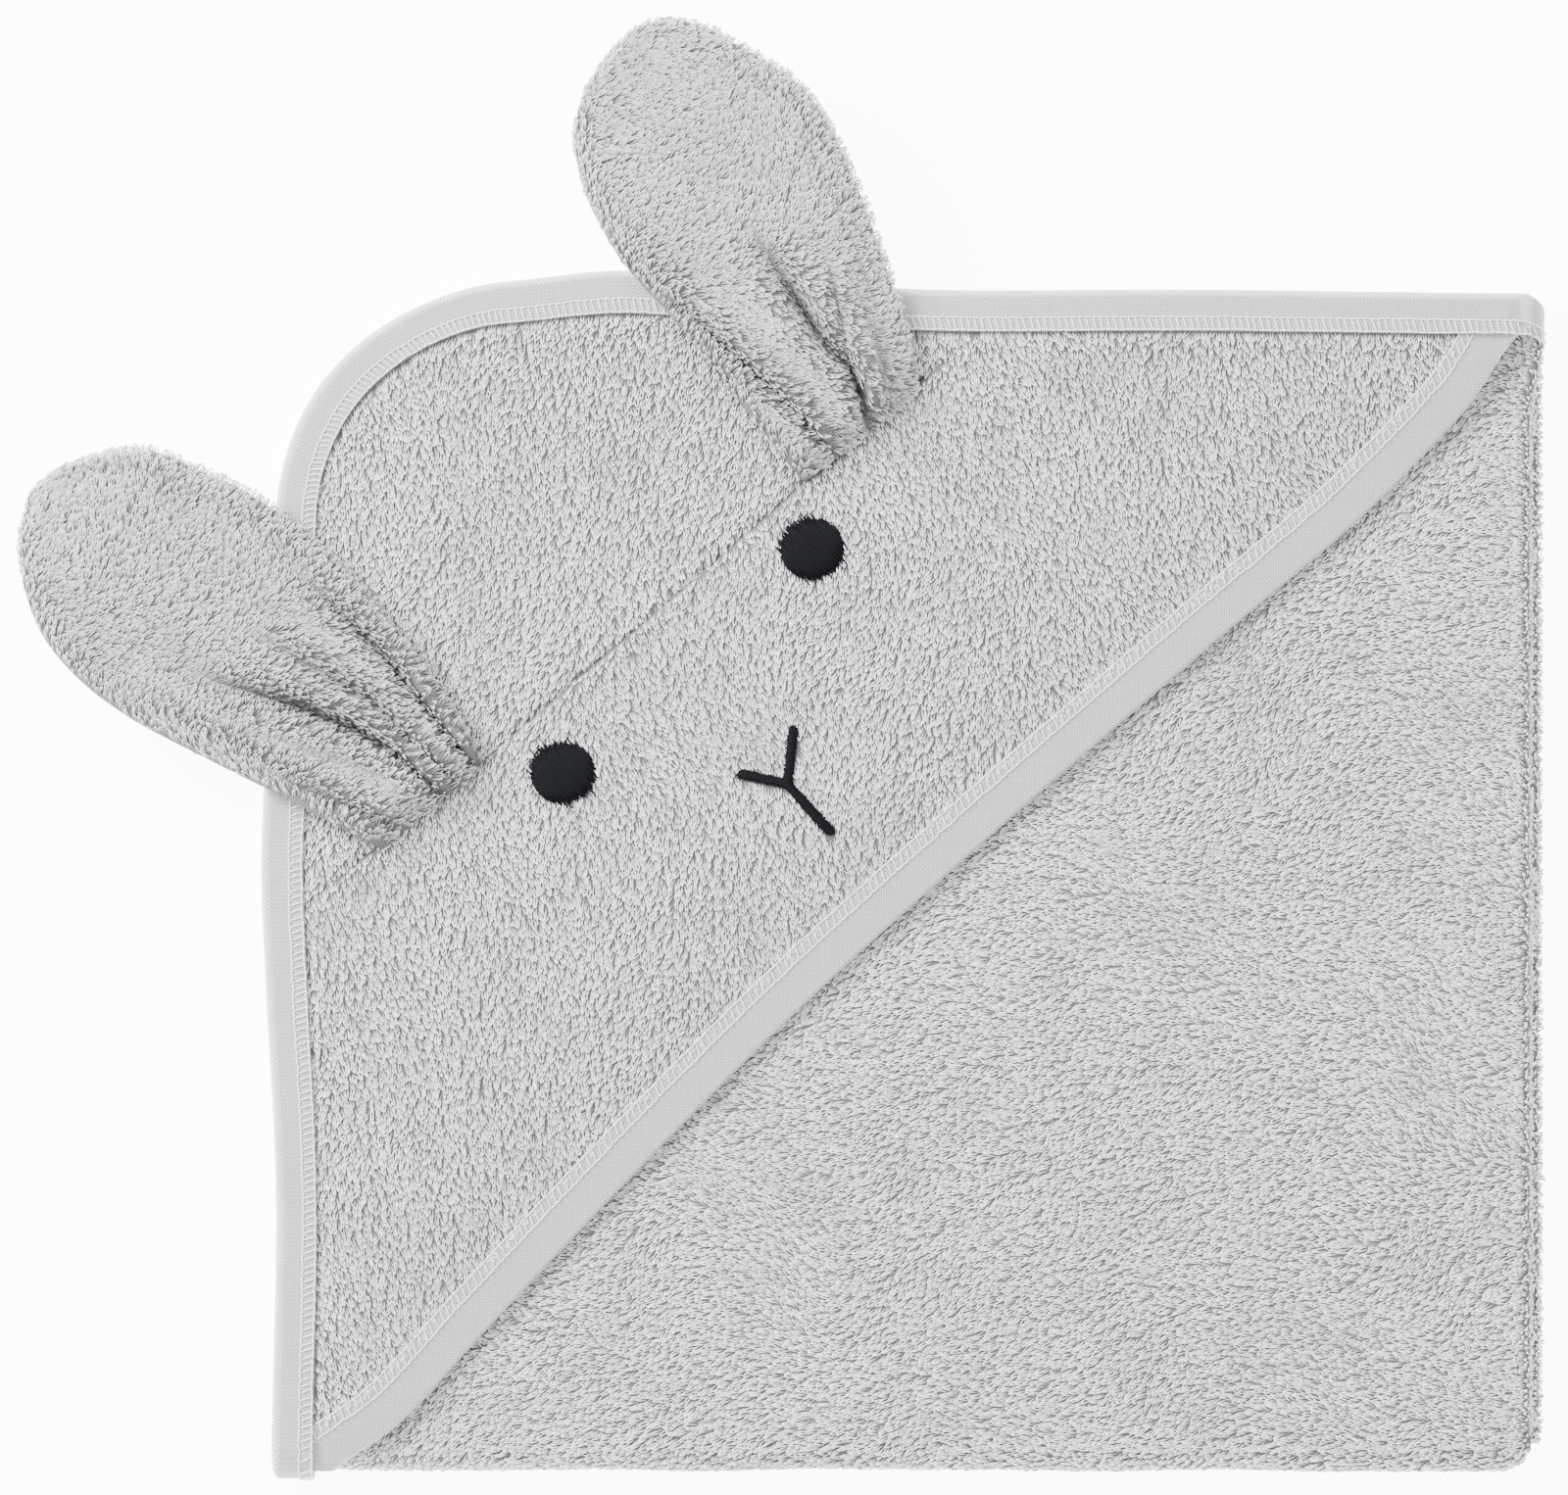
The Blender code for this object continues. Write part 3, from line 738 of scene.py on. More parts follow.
def towel_half(name, layers, edge, body, look, seed):
    """Two layers and their side fold: the cloth and the loops on its outer faces."""
    upper, lower = layers
    surface = half_surface(upper, lower, edge)
    across = fold_rows(64)
    rows = np.linspace(LAYER_BOTTOM, TOP - TAPE_WIDTH / 2, 72)
    grid = surface(*np.meshgrid(across, rows, indexing="ij"))
    sheet = cloth(name, grid, len(across), len(rows))

    def bare(x, y, reach=0.0):
        level = (edge_distance(x, y) > TAPE_WIDTH - MM) & (y > LAYER_BOTTOM - MM)
        return level & (x < fold_line(edge, y) + reach)

    def outside_hood(x, y):
        return bare(x, y, 1.3 * MM) & (mouth_distance(x, y)[0] < 8 * MM)

    def upper_nap(x, y):
        return nap_field(x, y, -1.4, 0.6, 35)

    def lower_nap(x, y):
        return nap_field(x, y, -1.5, 0.6, 37)

    def pressed(x, y):
        return np.full(np.shape(x), 0.3 if lower == 4 else 0.8)

    top_name = f"{name}_loops_top"
    if upper == 1:
        top = level_loops(top_name, layer_height, outside_hood, top_nap, look, seed)
    else:
        top = level_loops(top_name, LAYER_Z[upper], bare, upper_nap, look, seed, coarse=HIDDEN_LOOPS)
    coarse = {"facing": -1, "coarse": HIDDEN_LOOPS, "lie": pressed}
    beneath = level_loops(f"{name}_loops_under", LAYER_Z[lower], bare, lower_nap, look, seed + 50, **coarse)
    girth = math.pi * (FOLD_RADIUS + GROUND / 2)
    gap = loop_gap(look)
    place, y = scattered((0.95, 2.05), (LAYER_BOTTOM, TOP - TAPE_WIDTH), gap / girth, gap, seed + 5)
    nap = top_nap(np.full(len(y), UPPER_FOLD), y)
    outer = fold_outside(surface)
    fold = terry_loops(f"{name}_loops_fold", outer, place, y, nap, look, seed + 7, size=0.92, span=(0.02, MM))
    side_fold = "side_fold_upper" if upper == 1 else "side_fold_lower"
    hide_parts(f"towel_layer_{upper}", f"towel_layer_{lower}", side_fold)
    ride_terry([sheet, top, beneath, fold], body)
    return sheet, [top, beneath, fold]


def fold_outside(surface):
    """The outer face of the side fold."""

    def outside(place, y):
        middle = surface(place, y)
        turn = math.pi * np.clip(np.asarray(place) - 1, 0, 1)
        out = np.stack([np.sin(turn), np.zeros_like(turn), np.cos(turn)], -1)
        return middle + out * GROUND / 2

    return outside


def end_fold(name, upper, lower, look, seed):
    """The towel's turn round its end, from one layer down to another."""
    middle = (LAYER_Z[upper] + LAYER_Z[lower]) / 2
    half = (LAYER_Z[upper] - LAYER_Z[lower]) / 2
    outermost = upper == 1
    depth = LAYER_BOTTOM - BOTTOM - CLOTH / 2 if outermost else half
    start = LEFT + TAPE_WIDTH * 0.6
    finish = UPPER_FOLD - 0.6 * MM

    def surface(x, turn, out=0.0):
        x, turn = np.broadcast_arrays(np.asarray(x, float), np.asarray(turn, float))
        beyond = np.clip(x - (UPPER_FOLD - PACKET_CORNER), 0, PACKET_CORNER)
        closing = (PACKET_CORNER - np.sqrt(PACKET_CORNER**2 - beyond**2)) / PACKET_CORNER
        reach = np.maximum(depth * (1 - 1.25 * closing), 0.15 * MM) + out
        bulge = 1 + 0.06 * noise(x, x * 0, 0.03, seed)
        y = LAYER_BOTTOM - reach * bulge * np.sin(turn)
        z = middle + (half + out) * np.cos(turn)
        return np.stack([x, y, z], -1)

    columns = np.linspace(start, finish, 150)
    tail = END_TAIL * np.array([1.0, 0.5])
    turns = np.concatenate([[0, 0], np.linspace(0, math.pi, 13), [math.pi, math.pi]])
    tails = np.concatenate([tail, np.zeros(13), tail[::-1]])
    x, turn = np.meshgrid(columns, turns, indexing="ij")
    grid = surface(x, turn)
    grid[..., 1] += tails
    grid[..., 2] -= np.sign(np.cos(turn)) * (tails > 0) * 0.15 * MM
    sheet = cloth(f"{name}_cloth", grid, len(columns), len(turns))

    girth = math.pi * (depth + half) / 2
    rows = girth if outermost else 2 * girth
    gap = loop_gap(look)
    x, turn = scattered((LEFT + TAPE_WIDTH, finish), (0.02, math.pi - 0.02), gap, gap * math.pi / rows, seed)
    side = -1 if outermost else 1  # the inner fold's loops are on its hollow side, which unfolding shows
    nap = top_nap(x, np.full(len(x), LAYER_BOTTOM)) + math.pi

    def looped_face(u, v):
        return surface(side * u, v, -side * GROUND / 2)

    span = (MM, 0.05)
    loops = terry_loops(f"{name}_loops", looped_face, side * x, turn, nap, look, seed + 4, size=0.95, span=span)
    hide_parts(name)
    for piece in (sheet, loops):
        bend_round_end(piece, upper, lower)
    girth + 2 * END_TAIL


def crown_rim(share, height):
    """The crown's outer edge from the seam's foot, up the left side, round the corner and along the top."""
    inset = TAPE_WIDTH / 2
    radius = CORNER_RADIUS - inset
    arc = radius * math.pi / 2
    up, along = height
    travelled = share * (up + arc + along)
    turn = np.clip((travelled - up) / radius, 0, math.pi / 2)
    x = CORNER[0] - radius * np.cos(turn) + np.clip(travelled - up - arc, 0, None)
    y = CORNER[1] + radius * np.sin(turn) - np.clip(up - travelled, 0, None)
    return np.stack([x, y], -1)


def hood_panels(look):
    """The crown and the face, each a sheet with its loops."""
    inset = TAPE_WIDTH / 2
    share = np.linspace(0, 1, HOOD_COLUMNS)
    base = EAR_BASES["left"][:2]
    left_run = (LEFT + inset - base[0]) / SEAM_ALONG[0]
    top_run = (TOP - inset - base[1]) / SEAM_ALONG[1]
    seam = base + (left_run + (top_run - left_run) * share)[:, None] * SEAM_ALONG

    mouth = mouth_plan(share, MOUTH_HEM)
    mouth[:, 1] = np.clip(mouth[:, 1], LAYER_BOTTOM, TOP - inset)
    foot = share < 0.08
    rise = ease(share[foot] / 0.08)
    mouth[foot, 0] = LEFT + inset + (mouth[foot, 0] - LEFT - inset) * rise**0.5
    mouth[foot, 1] = LAYER_BOTTOM + (mouth[foot, 1] - LAYER_BOTTOM) * rise
    rim = crown_rim(share, (CORNER[1] - seam[0, 1], seam[-1, 0] - CORNER[0]))

    def inside(x, y):
        return edge_distance(x, y) > TAPE_WIDTH - 0.4 * MM

    def on_crown(x, y):
        return inside(x, y) & (seam_distance(x, y) > 0.4 * MM)

    def on_face(x, y):
        below = (seam_distance(x, y) < -0.4 * MM) & (mouth_distance(x, y)[0] > MOUTH_TAPE_WIDTH - 0.4 * MM)
        return inside(x, y) & below & ~on_embroidery(x, y)

    def crown_nap(x, y):
        return nap_field(x, y, -math.pi / 2, 0.3, 41)

    def face_nap(x, y):
        return nap_field(x, y, -math.pi / 2 + 0.1, 0.4, 43)

    def seam_lie(x, y):
        return 1 - 0.45 * np.exp(-(((seam_distance(x, y) + SEAM_BAND / 2) / (SEAM_BAND / 2)) ** 2))

    made = {}
    for name, outer, where, nap, lie, seed in (
        ("crown", rim, on_crown, crown_nap, None, 140),
        ("face", mouth, on_face, face_nap, seam_lie, 150),
    ):
        across = np.linspace(0, 1, HOOD_ROWS)[:, None, None]
        plan = seam[None] * (1 - across) + outer[None] * across
        x, y = plan[..., 0], plan[..., 1]
        grid = raised(x, y, hood_height(x, y))
        if name == "face":
            grid = grid[::-1]
        sheet = cloth(f"hood_{name}_cloth", grid, HOOD_ROWS, HOOD_COLUMNS)
        loops = level_loops(f"hood_{name}_loops", hood_height, where, nap, look, seed, lie=lie)
        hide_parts(f"hood_{name}")
        ride_terry([sheet, loops], "front_half")
        made[name] = sheet, loops
    return made


# Tape


def rounding(half):
    """How far in from a tape's folded edge its face is rounded off."""
    return 0.42 * half + 0.7 * MM


def face_height(inset, half):
    """Height of a tape's face over its middle, rounded at its folded edge."""
    return half * np.sqrt(1 - (1 - np.clip(inset / rounding(half), 0, 1)) ** 2)


def section(halves, width, count=7):
    """Once round a folded tape, from its inner edge over its fold and back: distance in, and height."""
    halves = np.asarray(halves, float)[:, None]
    turn = np.linspace(math.pi / 2, 0, count)
    curved = rounding(halves) * (1 - np.cos(turn))
    flat = width + (curved[:, :1] - width) * np.linspace(0, 1, 4)[:-1]
    inward = np.concatenate([flat, curved], 1)
    height = face_height(inward, halves)
    inward = np.concatenate([inward, inward[:, -2::-1], inward[:, :1]], 1)
    height = np.concatenate([height, -height[:, -2::-1], height[:, :1]], 1)
    return inward, height


def end_round(x, end):
    """How far the tape's edge falls where its end is rounded off at the side fold."""
    over = np.clip(x - end + END_ROUND, 0, 0.97 * END_ROUND)
    return END_ROUND - np.sqrt(END_ROUND**2 - over**2)


def rim_path(upper, lower, edge_x, top_heights):
    """The tape's folded edge: up the left side, round the corner, along the top, round the side fold and
    back on the layer below. Gives points, inward and outward directions and half heights."""
    up = np.linspace(0, 1, 140)[:, None] * (CORNER[1] - LAYER_BOTTOM)
    left = np.concatenate([np.full_like(up, LEFT), LAYER_BOTTOM + up], 1)
    turn = np.linspace(0, math.pi / 2, 60)[1:-1]
    corner = CORNER + CORNER_RADIUS * np.stack([-np.cos(turn), np.sin(turn)], -1)
    last = edge_x - END_ROUND * np.linspace(0.9, 0, 10)
    across = np.concatenate([np.linspace(CORNER[0], edge_x - END_ROUND, 150), last])
    top = np.stack([across, TOP - end_round(across, edge_x + FOLD_RADIUS)], -1)
    plan = np.concatenate([left, corner, top])
    inward = np.concatenate(
        [
            np.tile([1.0, 0.0], (len(left), 1)),
            np.stack([np.cos(turn), -np.sin(turn)], -1),
            np.tile([0.0, -1.0], (len(top), 1)),
        ]
    )
    middle, half = top_heights(plan[:, 0])
    count = len(plan)
    upper_points = np.column_stack([plan, middle])
    lower_points = np.column_stack([plan, np.full(count, LAYER_Z[lower])])[::-1]
    inward3 = np.column_stack([inward, np.zeros(count)])
    bend = np.linspace(0, math.pi, 14)[1:-1]
    centre_z = (LAYER_Z[upper] + LAYER_Z[lower]) / 2
    fold_x = edge_x + FOLD_RADIUS * np.sin(bend)
    fold_y = TOP - end_round(fold_x, edge_x + FOLD_RADIUS)
    fold = np.column_stack([fold_x, fold_y, centre_z + FOLD_RADIUS * np.cos(bend)])
    fold_out = np.column_stack([np.sin(bend), np.zeros_like(bend), np.cos(bend)])
    points = np.concatenate([upper_points, fold, lower_points])
    ins = np.concatenate([inward3, np.tile([0.0, -1.0, 0.0], (len(bend), 1)), inward3[::-1]])
    up_out = np.tile([0.0, 0.0, 1.0], (count, 1))
    outs = np.concatenate([up_out, fold_out, -up_out])
    thin = layer_tape_half()
    halves = np.concatenate([half, np.full(len(bend), thin), np.full(count, thin)])
    return points, ins, outs, halves


def layer_tape_half():
    """Half the thickness of the tape round one layer."""
    low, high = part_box("tape_left_2")
    return (high.z - low.z) / 2


def tape_body(name, points, ins, outs, halves, pucker=0.0):
    """Sweeps the edge tape's folded section along its edge, with puckers of the given depth."""
    inner, heights = section(halves, TAPE_WIDTH)
    along = distances(points)
    ripple = noise(along[:, None] + 0 * inner, inner, 5 * MM, 9)
    heights = heights + ripple * pucker * np.sign(heights) * np.clip(inner / (4 * MM), 0, 1)
    grid = points[:, None] + ins[:, None] * inner[..., None] + outs[:, None] * heights[..., None]
    return tape_mesh(name, swayed(grid), along, MATERIALS["bias_tape"])


def distances(points):
    """How far along a line each of its points is."""
    return np.concatenate([[0], np.cumsum(np.linalg.norm(np.diff(points, axis=0), axis=1))])


def tape_mesh(name, grid, along, material):
    """A tape from rings of points, with its weave laid along it."""
    rings, count, _ = grid.shape
    obj = new_object(name, grid, grid_faces(rings, count), material)
    round_it = distances(grid[rings // 2])
    set_map(obj, "weave", np.stack(np.meshgrid(along, round_it, indexing="ij"), -1))
    return obj


def front_heights(x):
    """On the top layer the tape also holds the hood's edge, up to where the mouth ends."""
    low, high = EDGE_TAPE_Z
    thick = (high - low) / 2 - 0.4 * MM
    thin = layer_tape_half()
    share = 1 - ease((x - (UPPER_FOLD - 7 * MM)) / (8 * MM))
    middle = LAYER_Z[1] + ((low + high) / 2 - LAYER_Z[1]) * share
    return middle, thin + (thick - thin) * share


def back_heights(x):
    """The same for the tape on the third layer, which holds no hood."""
    return np.full(len(x), LAYER_Z[3]), np.full(len(x), layer_tape_half())


def front_rim():
    """The path of the front half's tape."""
    return rim_path(1, 2, UPPER_FOLD + FOLD_FLARE - CLOTH / 2 - FOLD_RADIUS, front_heights)


def edge_tapes():
    """The tape round each half of the towel, in one length with its turn round the side fold."""
    back_rim = rim_path(3, 4, RIGHT - CLOTH / 2 - FOLD_RADIUS, back_heights)
    made = []
    for half, path, layers, fold in (("front", front_rim(), (1, 2), "upper"), ("back", back_rim, (3, 4), "lower")):
        tape = tape_body(f"tape_{half}", *path, 0.06 * MM)
        nodes = [f"tape_{side}_{layer}" for side in ("left", "corner", "top") for layer in layers]
        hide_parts(*nodes, f"tape_side_fold_{fold}")
        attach(tape, f"{half}_half")
        made.append(tape)
    return made


def end_tape_path(upper, lower):
    """The tape's edge where it goes round the end fold with the cloth."""
    thin = layer_tape_half()
    top, half_top = (LAYER_Z[upper], thin)
    if upper == 1:
        top, half_top = (value[0] for value in front_heights(np.array([LEFT])))
    turn = np.linspace(0, math.pi, 24)
    middle = (top + LAYER_Z[lower]) / 2
    half = (top - LAYER_Z[lower]) / 2
    depth = LAYER_BOTTOM - BOTTOM - thin if upper == 1 else half
    points = np.column_stack([0 * turn + LEFT, LAYER_BOTTOM - depth * np.sin(turn), middle + half * np.cos(turn)])
    outs = unit(np.column_stack([0 * turn, -np.sin(turn) / max(depth, MM), np.cos(turn) / half]))
    ins = np.tile([1.0, 0.0, 0.0], (len(turn), 1))
    share = (1 + np.cos(turn)) / 2
    return points, ins, outs, thin + (half_top - thin) * ease(share * 1.3 - 0.3)


def end_tape(name, upper, lower):
    """The tape where it goes round the end fold with the cloth."""
    tape = tape_body(f"{name}_tape", *end_tape_path(upper, lower))
    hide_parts(f"tape_{name}")
    bend_round_end(tape, upper, lower)


def mouth_point(share, inset, lift):
    """A point on the hood's mouth, lift above the middle of its cloth."""
    plan = mouth_plan(share, inset)
    x = np.maximum(plan[..., 0], LEFT + TAPE_WIDTH - 3 * MM)
    y = np.clip(plan[..., 1], BOTTOM + MM, TOP - TAPE_WIDTH + 3 * MM)
    return raised(x, y, hood_height(x, y) + lift)


def mouth_binding():
    """The straight woven tape along the mouth."""
    share = np.linspace(-0.03, 1.02, 320)
    inward, heights = section(np.full(len(share), MOUTH_HEM), MOUTH_TAPE_WIDTH)
    grid = mouth_point(share[:, None], inward, heights)
    tape = tape_mesh("mouth_tape", grid, share * MOUTH_LENGTH, MATERIALS["straight_tape"])
    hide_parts("hood_mouth_tape")
    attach(tape, "front_half")
    return tape


# Thread


def thread_object(name, lines, radius, slot, sides=5):
    """Many short threads of one colour as one piece. lines is (threads, points, 3)."""
    ups = np.broadcast_to([0.0, 0.0, 1.0], lines.shape)
    taper = np.ones(lines.shape[1])
    taper[[0, -1]] = 0.55
    points, faces = tubes(lines, radius * taper, ups, sides)
    obj = new_object(name, points, faces, MATERIALS[slot])
    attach(obj, "front_half")
    step = np.linalg.norm(np.diff(lines, axis=1), axis=-1)
    along = np.concatenate([np.zeros((len(lines), 1)), np.cumsum(step, 1)], 1)
    u = np.repeat(along[:, :, None], sides, axis=2)
    v = np.broadcast_to(np.arange(sides) / sides, u.shape)
    set_map(obj, "thread", np.stack([u, v], -1))
    flat_map(obj, points.reshape(-1, 3))
    return obj


def cover_stitch(name, place, length, outer, pitch, look, seed):
    """Two rows of thread joined by slanting rungs. place(along, inset, lift) gives points on the tape."""
    rng = np.random.default_rng(seed)
    count = int(length / pitch)
    start = (np.arange(count) * pitch)[:, None]
    radius = look.stitch_thread
    t = np.linspace(0, 1, 6)[None]
    inner = outer + STITCH_BAND - 2 * STITCH_INSET
    arch = np.sin(math.pi * t)
    lines = []
    for row, bow in ((outer, -0.22 * MM), (inner, 0.18 * MM)):
        jitter = rng.normal(0, 0.10 * MM, (count + 1, 1))
        ends = jitter[:-1] * (1 - t) + jitter[1:] * t
        lines.append(place(start + pitch * t, row + ends + bow * arch, radius * (0.5 + 1.1 * arch)))
    slip = rng.normal(0, 0.05, (count, 1))
    lean = rng.normal(0.55, 0.06, (count, 1))
    across = outer + (inner - outer) * t
    lines.append(place(start + pitch * (0.1 + slip + lean * t), across, radius * (0.5 + 1.1 * arch)))
    lines = np.concatenate(lines)
    return thread_object(name, lines, radius * 0.92, "white_thread")


def path_place(path):
    """Turns distance along a tape's edge, inset and lift into points on its upper face."""
    points, ins, outs, halves = path
    along = distances(points)

    def place(distance, inset, lift):
        distance, inset, lift = np.broadcast_arrays(distance, inset, lift)

        def read(vectors):
            return np.stack([np.interp(distance, along, values) for values in vectors.T], -1)

        height = face_height(inset, np.interp(distance, along, halves)) + lift
        return swayed(read(points) + unit(read(ins)) * inset[..., None] + unit(read(outs)) * height[..., None])

    return place, along


# Ears


def ear_plane(side):
    """The ear's own directions in plan: along it and across it, away from the other ear."""
    turn = EAR_SHAPES[side]["turn"]
    along = np.array([math.cos(turn), math.sin(turn)])
    across = np.array([-along[1], along[0]]) if side == "left" else np.array([along[1], -along[0]])
    return along, across


def round_spline(points, count):
    """A smooth open curve through points."""
    points = np.array(points, float)
    ends = np.concatenate([[2 * points[0] - points[1]], points, [2 * points[-1] - points[-2]]])
    t = np.linspace(0, len(points) - 1, count)
    i = np.minimum(t.astype(int), len(points) - 2)
    f = (t - i)[:, None]
    a, b, c, d = (ends[i + k] for k in range(4))
    return 0.5 * (2 * b + (c - a) * f + (2 * a - 5 * b + 4 * c - d) * f**2 + (3 * b - a - 3 * c + d) * f**3)


def ear_pleats(side, along, across):
    """Height of the pleats that gather the ear into its seam: creases with a ridge on each side."""
    height = 0
    for line, depth, width in EAR_SHAPES[side]["pleats"]:
        reach = line[-1][0]
        where = np.interp(along, *(np.array(line).T * MM))
        off = (across - where) / (width * MM * (0.55 + 0.45 * ease(along / (0.6 * reach * MM))))
        strength = depth * MM * (1 - ease((along - 0.45 * reach * MM) / (0.55 * reach * MM)))
        height = height + strength * (0.5 * np.exp(-(((np.abs(off) - 2.1) / 1.3) ** 2)) - np.exp(-(off**2)))
    return height


def ear_surface(side, leaf):
    """A leaf of the ear as a surface: u across from -1 to 1, v from the base (0) to the tip (1)."""
    shape = EAR_SHAPES[side]
    count = len(shape["outline"])
    fine = round_spline(np.array(shape["outline"]) * MM, 20 * (count - 1) + 1)
    tip = shape["tip"] * 20
    inner, outer = fine[: tip + 1], fine[tip:][::-1]

    sides = [(curve, distances(curve) / distances(curve)[-1]) for curve in (inner, outer)]
    along_dir, across_dir = ear_plane(side)
    base = EAR_BASES[side]
    face = 1 if leaf == "front" else -1

    def surface(u, v):
        u, v = np.broadcast_arrays(np.asarray(u, float), np.asarray(v, float))
        near, far = (
            np.stack([np.interp(v, place, curve[:, k]) for k in (0, 1)], -1) for curve, place in sides
        )
        share = ((1 + u) / 2)[..., None]
        at = near * (1 - share) + far * share
        along, across = at[..., 0], at[..., 1]
        half_row = np.linalg.norm(far - near, axis=-1) / 2
        rim = np.minimum((1 - np.abs(u)) * half_row, (1 - v) * 0.16)
        puff = np.sqrt(np.clip(rim / (9 * MM), 0, 1) * (2 - np.clip(rim / (9 * MM), 0, 1)))
        z = face * EAR_PUFF * puff * (1 if leaf == "front" else 0.8)
        furry = ease((u * shape["furry"] + 0.25) / 0.5)
        groove = 0.5 * furry + (1 - furry) * (1 - ease((along - 0.06) / 0.035)) * 1.3
        groove = groove * ease((along - 0.008) / 0.03)
        z = z - face * 1.1 * MM * np.exp(-(((rim - EAR_ROLL) / (1.2 * MM)) ** 2)) * groove
        z = z + 0.8 * MM * noise(along + 0.3, across + 0.3, 0.03, 61 + len(side)) * puff
        pleats = ear_pleats(side, along, across)
        z = z - EAR_SAG * (np.clip(along - 0.03, 0, None) / 0.11) ** 1.5
        plan = base[:2] + along[..., None] * along_dir + across[..., None] * across_dir
        free = ease((seam_distance(plan[..., 0], plan[..., 1]) + MM) / EAR_RISE)
        sewn = HOOD_Z + 1.4 * MM
        z = sewn + (base[2] + 0.3 * MM - sewn + z) * free
        z = z + pleats * ((0.35 + 0.65 * free) if leaf == "front" else 0.35 * free)
        return np.concatenate([plan, z[..., None]], -1)

    return surface


def ear_grid(side, leaf):
    """Rows of the ear's surface from base to tip, closer at the tip."""
    u = np.sin(np.linspace(-math.pi / 2, math.pi / 2, 49))
    v = np.sin(np.linspace(0, math.pi / 2, 90))
    u, v = np.meshgrid(u, v, indexing="xy")
    return ear_surface(side, leaf)(u, v)


def ear_loops(side, leaf, look, seed):
    """Loops on one leaf, thinned so that they are as close at the tip as at the base."""
    surface = ear_surface(side, leaf)
    gap = loop_gap(look) * (1.0 if leaf == "front" else 1.35)
    mirror = -1 if (side == "left") == (leaf == "front") else 1
    rng = np.random.default_rng(seed)
    u, v = scattered((-1, 1), (0.0, 0.998), gap / (52 * MM), gap / 0.158, seed)
    row = np.linalg.norm(surface(np.ones_like(v), v) - surface(-np.ones_like(v), v), axis=1)
    kept = rng.uniform(0, 1, len(u)) < row / row.max()
    u, v = u[kept], v[kept]

    def faced(a, b):
        return surface(a * mirror, b)

    along_dir, across_dir = ear_plane(side)
    at = surface(u, v)
    turn = EAR_SHAPES[side]["turn"]
    wander = noise(at[:, 0], at[:, 1], 34 * MM, seed + 3) + 0.35 * noise(at[:, 0], at[:, 1], 14 * MM, seed + 4)
    heading = nap_heading(side, at, wander)
    outward = turn - math.copysign(math.pi / 2, 1 if side == "right" else -1) * np.sign(u)
    rim = ease((np.abs(u) - 0.80) / 0.12) * (0.3 + 0.7 * ease((u * EAR_SHAPES[side]["furry"] + 0.25) / 0.5))
    heading = heading * (1 - rim) + (outward + 0.4 * wander) * rim
    to = at[:, :2] - EAR_BASES[side][:2]
    # painted shade: how deep each loop sits in a pleat's crease
    crease_shade = np.clip(-ear_pleats(side, to @ along_dir, to @ across_dir) / (4.5 * MM), 0, 1)
    across_turn = math.atan2(*(mirror * across_dir)[::-1])
    nap = (heading - across_turn) * (1 if leaf == "front" else -1)
    return terry_loops(
        f"{side}_ear_{leaf}_loops",
        faced,
        u * mirror,
        v,
        nap,
        look,
        seed + 5,
        steps=5 if leaf == "front" else 4,
        size=1.0,
        span=(0.01, 0.004),
        lie=0.9 + 0.4 * rim,
        stand=GROUND / 2,
        # painted shade darkens the front leaf's loops in the creases
        tone=0.72 - (0.48 * crease_shade if leaf == "front" else 0),
    )


def nap_heading(side, at, wander):
    """The ear's loops lie across it, turning towards its seam near the base."""
    base = EAR_BASES[side]
    reach = np.hypot(at[:, 0] - base[0], at[:, 1] - base[1])
    near_base = 1 - ease((reach - 0.03) / 0.04)
    return EAR_SHAPES[side]["turn"] - math.pi * (0.45 + 0.2 * near_base) + 0.8 * wander


def ear(side, look, seed):
    """Two leaves of terry sewn together round their edge, on the crown seam."""
    base = EAR_BASES[side]
    outline = np.array(EAR_SHAPES[side]["outline"])
    for leaf in ("front", "back"):
        grid = ear_grid(side, leaf)
        if (leaf == "front") == (side == "left"):
            grid = grid[:, ::-1]
        sheet = cloth(f"{side}_ear_{leaf}_cloth", grid, grid.shape[0], grid.shape[1])
        loops = ear_loops(side, leaf, look, seed + (0 if leaf == "front" else 20))
        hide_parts(f"{side}_ear_{leaf}")
        for piece in (sheet, loops):
            tuple(base)
            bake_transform(piece)


# Face


def face_places():
    """Middles of the eyes and of the nose, where its three bars meet."""
    return {
        name: sum(np.array(corner[:2]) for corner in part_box(name)) / 2 + np.array(shift) * MM
        for name, shift in FACE_SHIFTS.items()
    }


def nose_strokes():
    """The nose's middle and the ends of its two arms and its stem."""
    centre = face_places()["nose"]
    return centre, [centre + np.array(bar) * MM for bar in NOSE_BARS]


def on_embroidery(x, y):
    """Where the black thread covers the terry."""
    hidden = np.zeros(np.shape(x), bool)
    for name, middle in face_places().items():
        if name != "nose":
            hidden |= ((x - middle[0]) / (EYE_SIZE[0] / 2)) ** 2 + ((y - middle[1]) / (EYE_SIZE[1] / 2)) ** 2 < 0.86
    centre, ends = nose_strokes()
    for end in ends:
        to = end - centre
        share = np.clip(((x - centre[0]) * to[0] + (y - centre[1]) * to[1]) / (to @ to), 0, 1)
        gap = np.hypot(x - centre[0] - share * to[0], y - centre[1] - share * to[1])
        hidden |= gap < NOSE_STROKE / 2 - 0.2 * MM
    return hidden


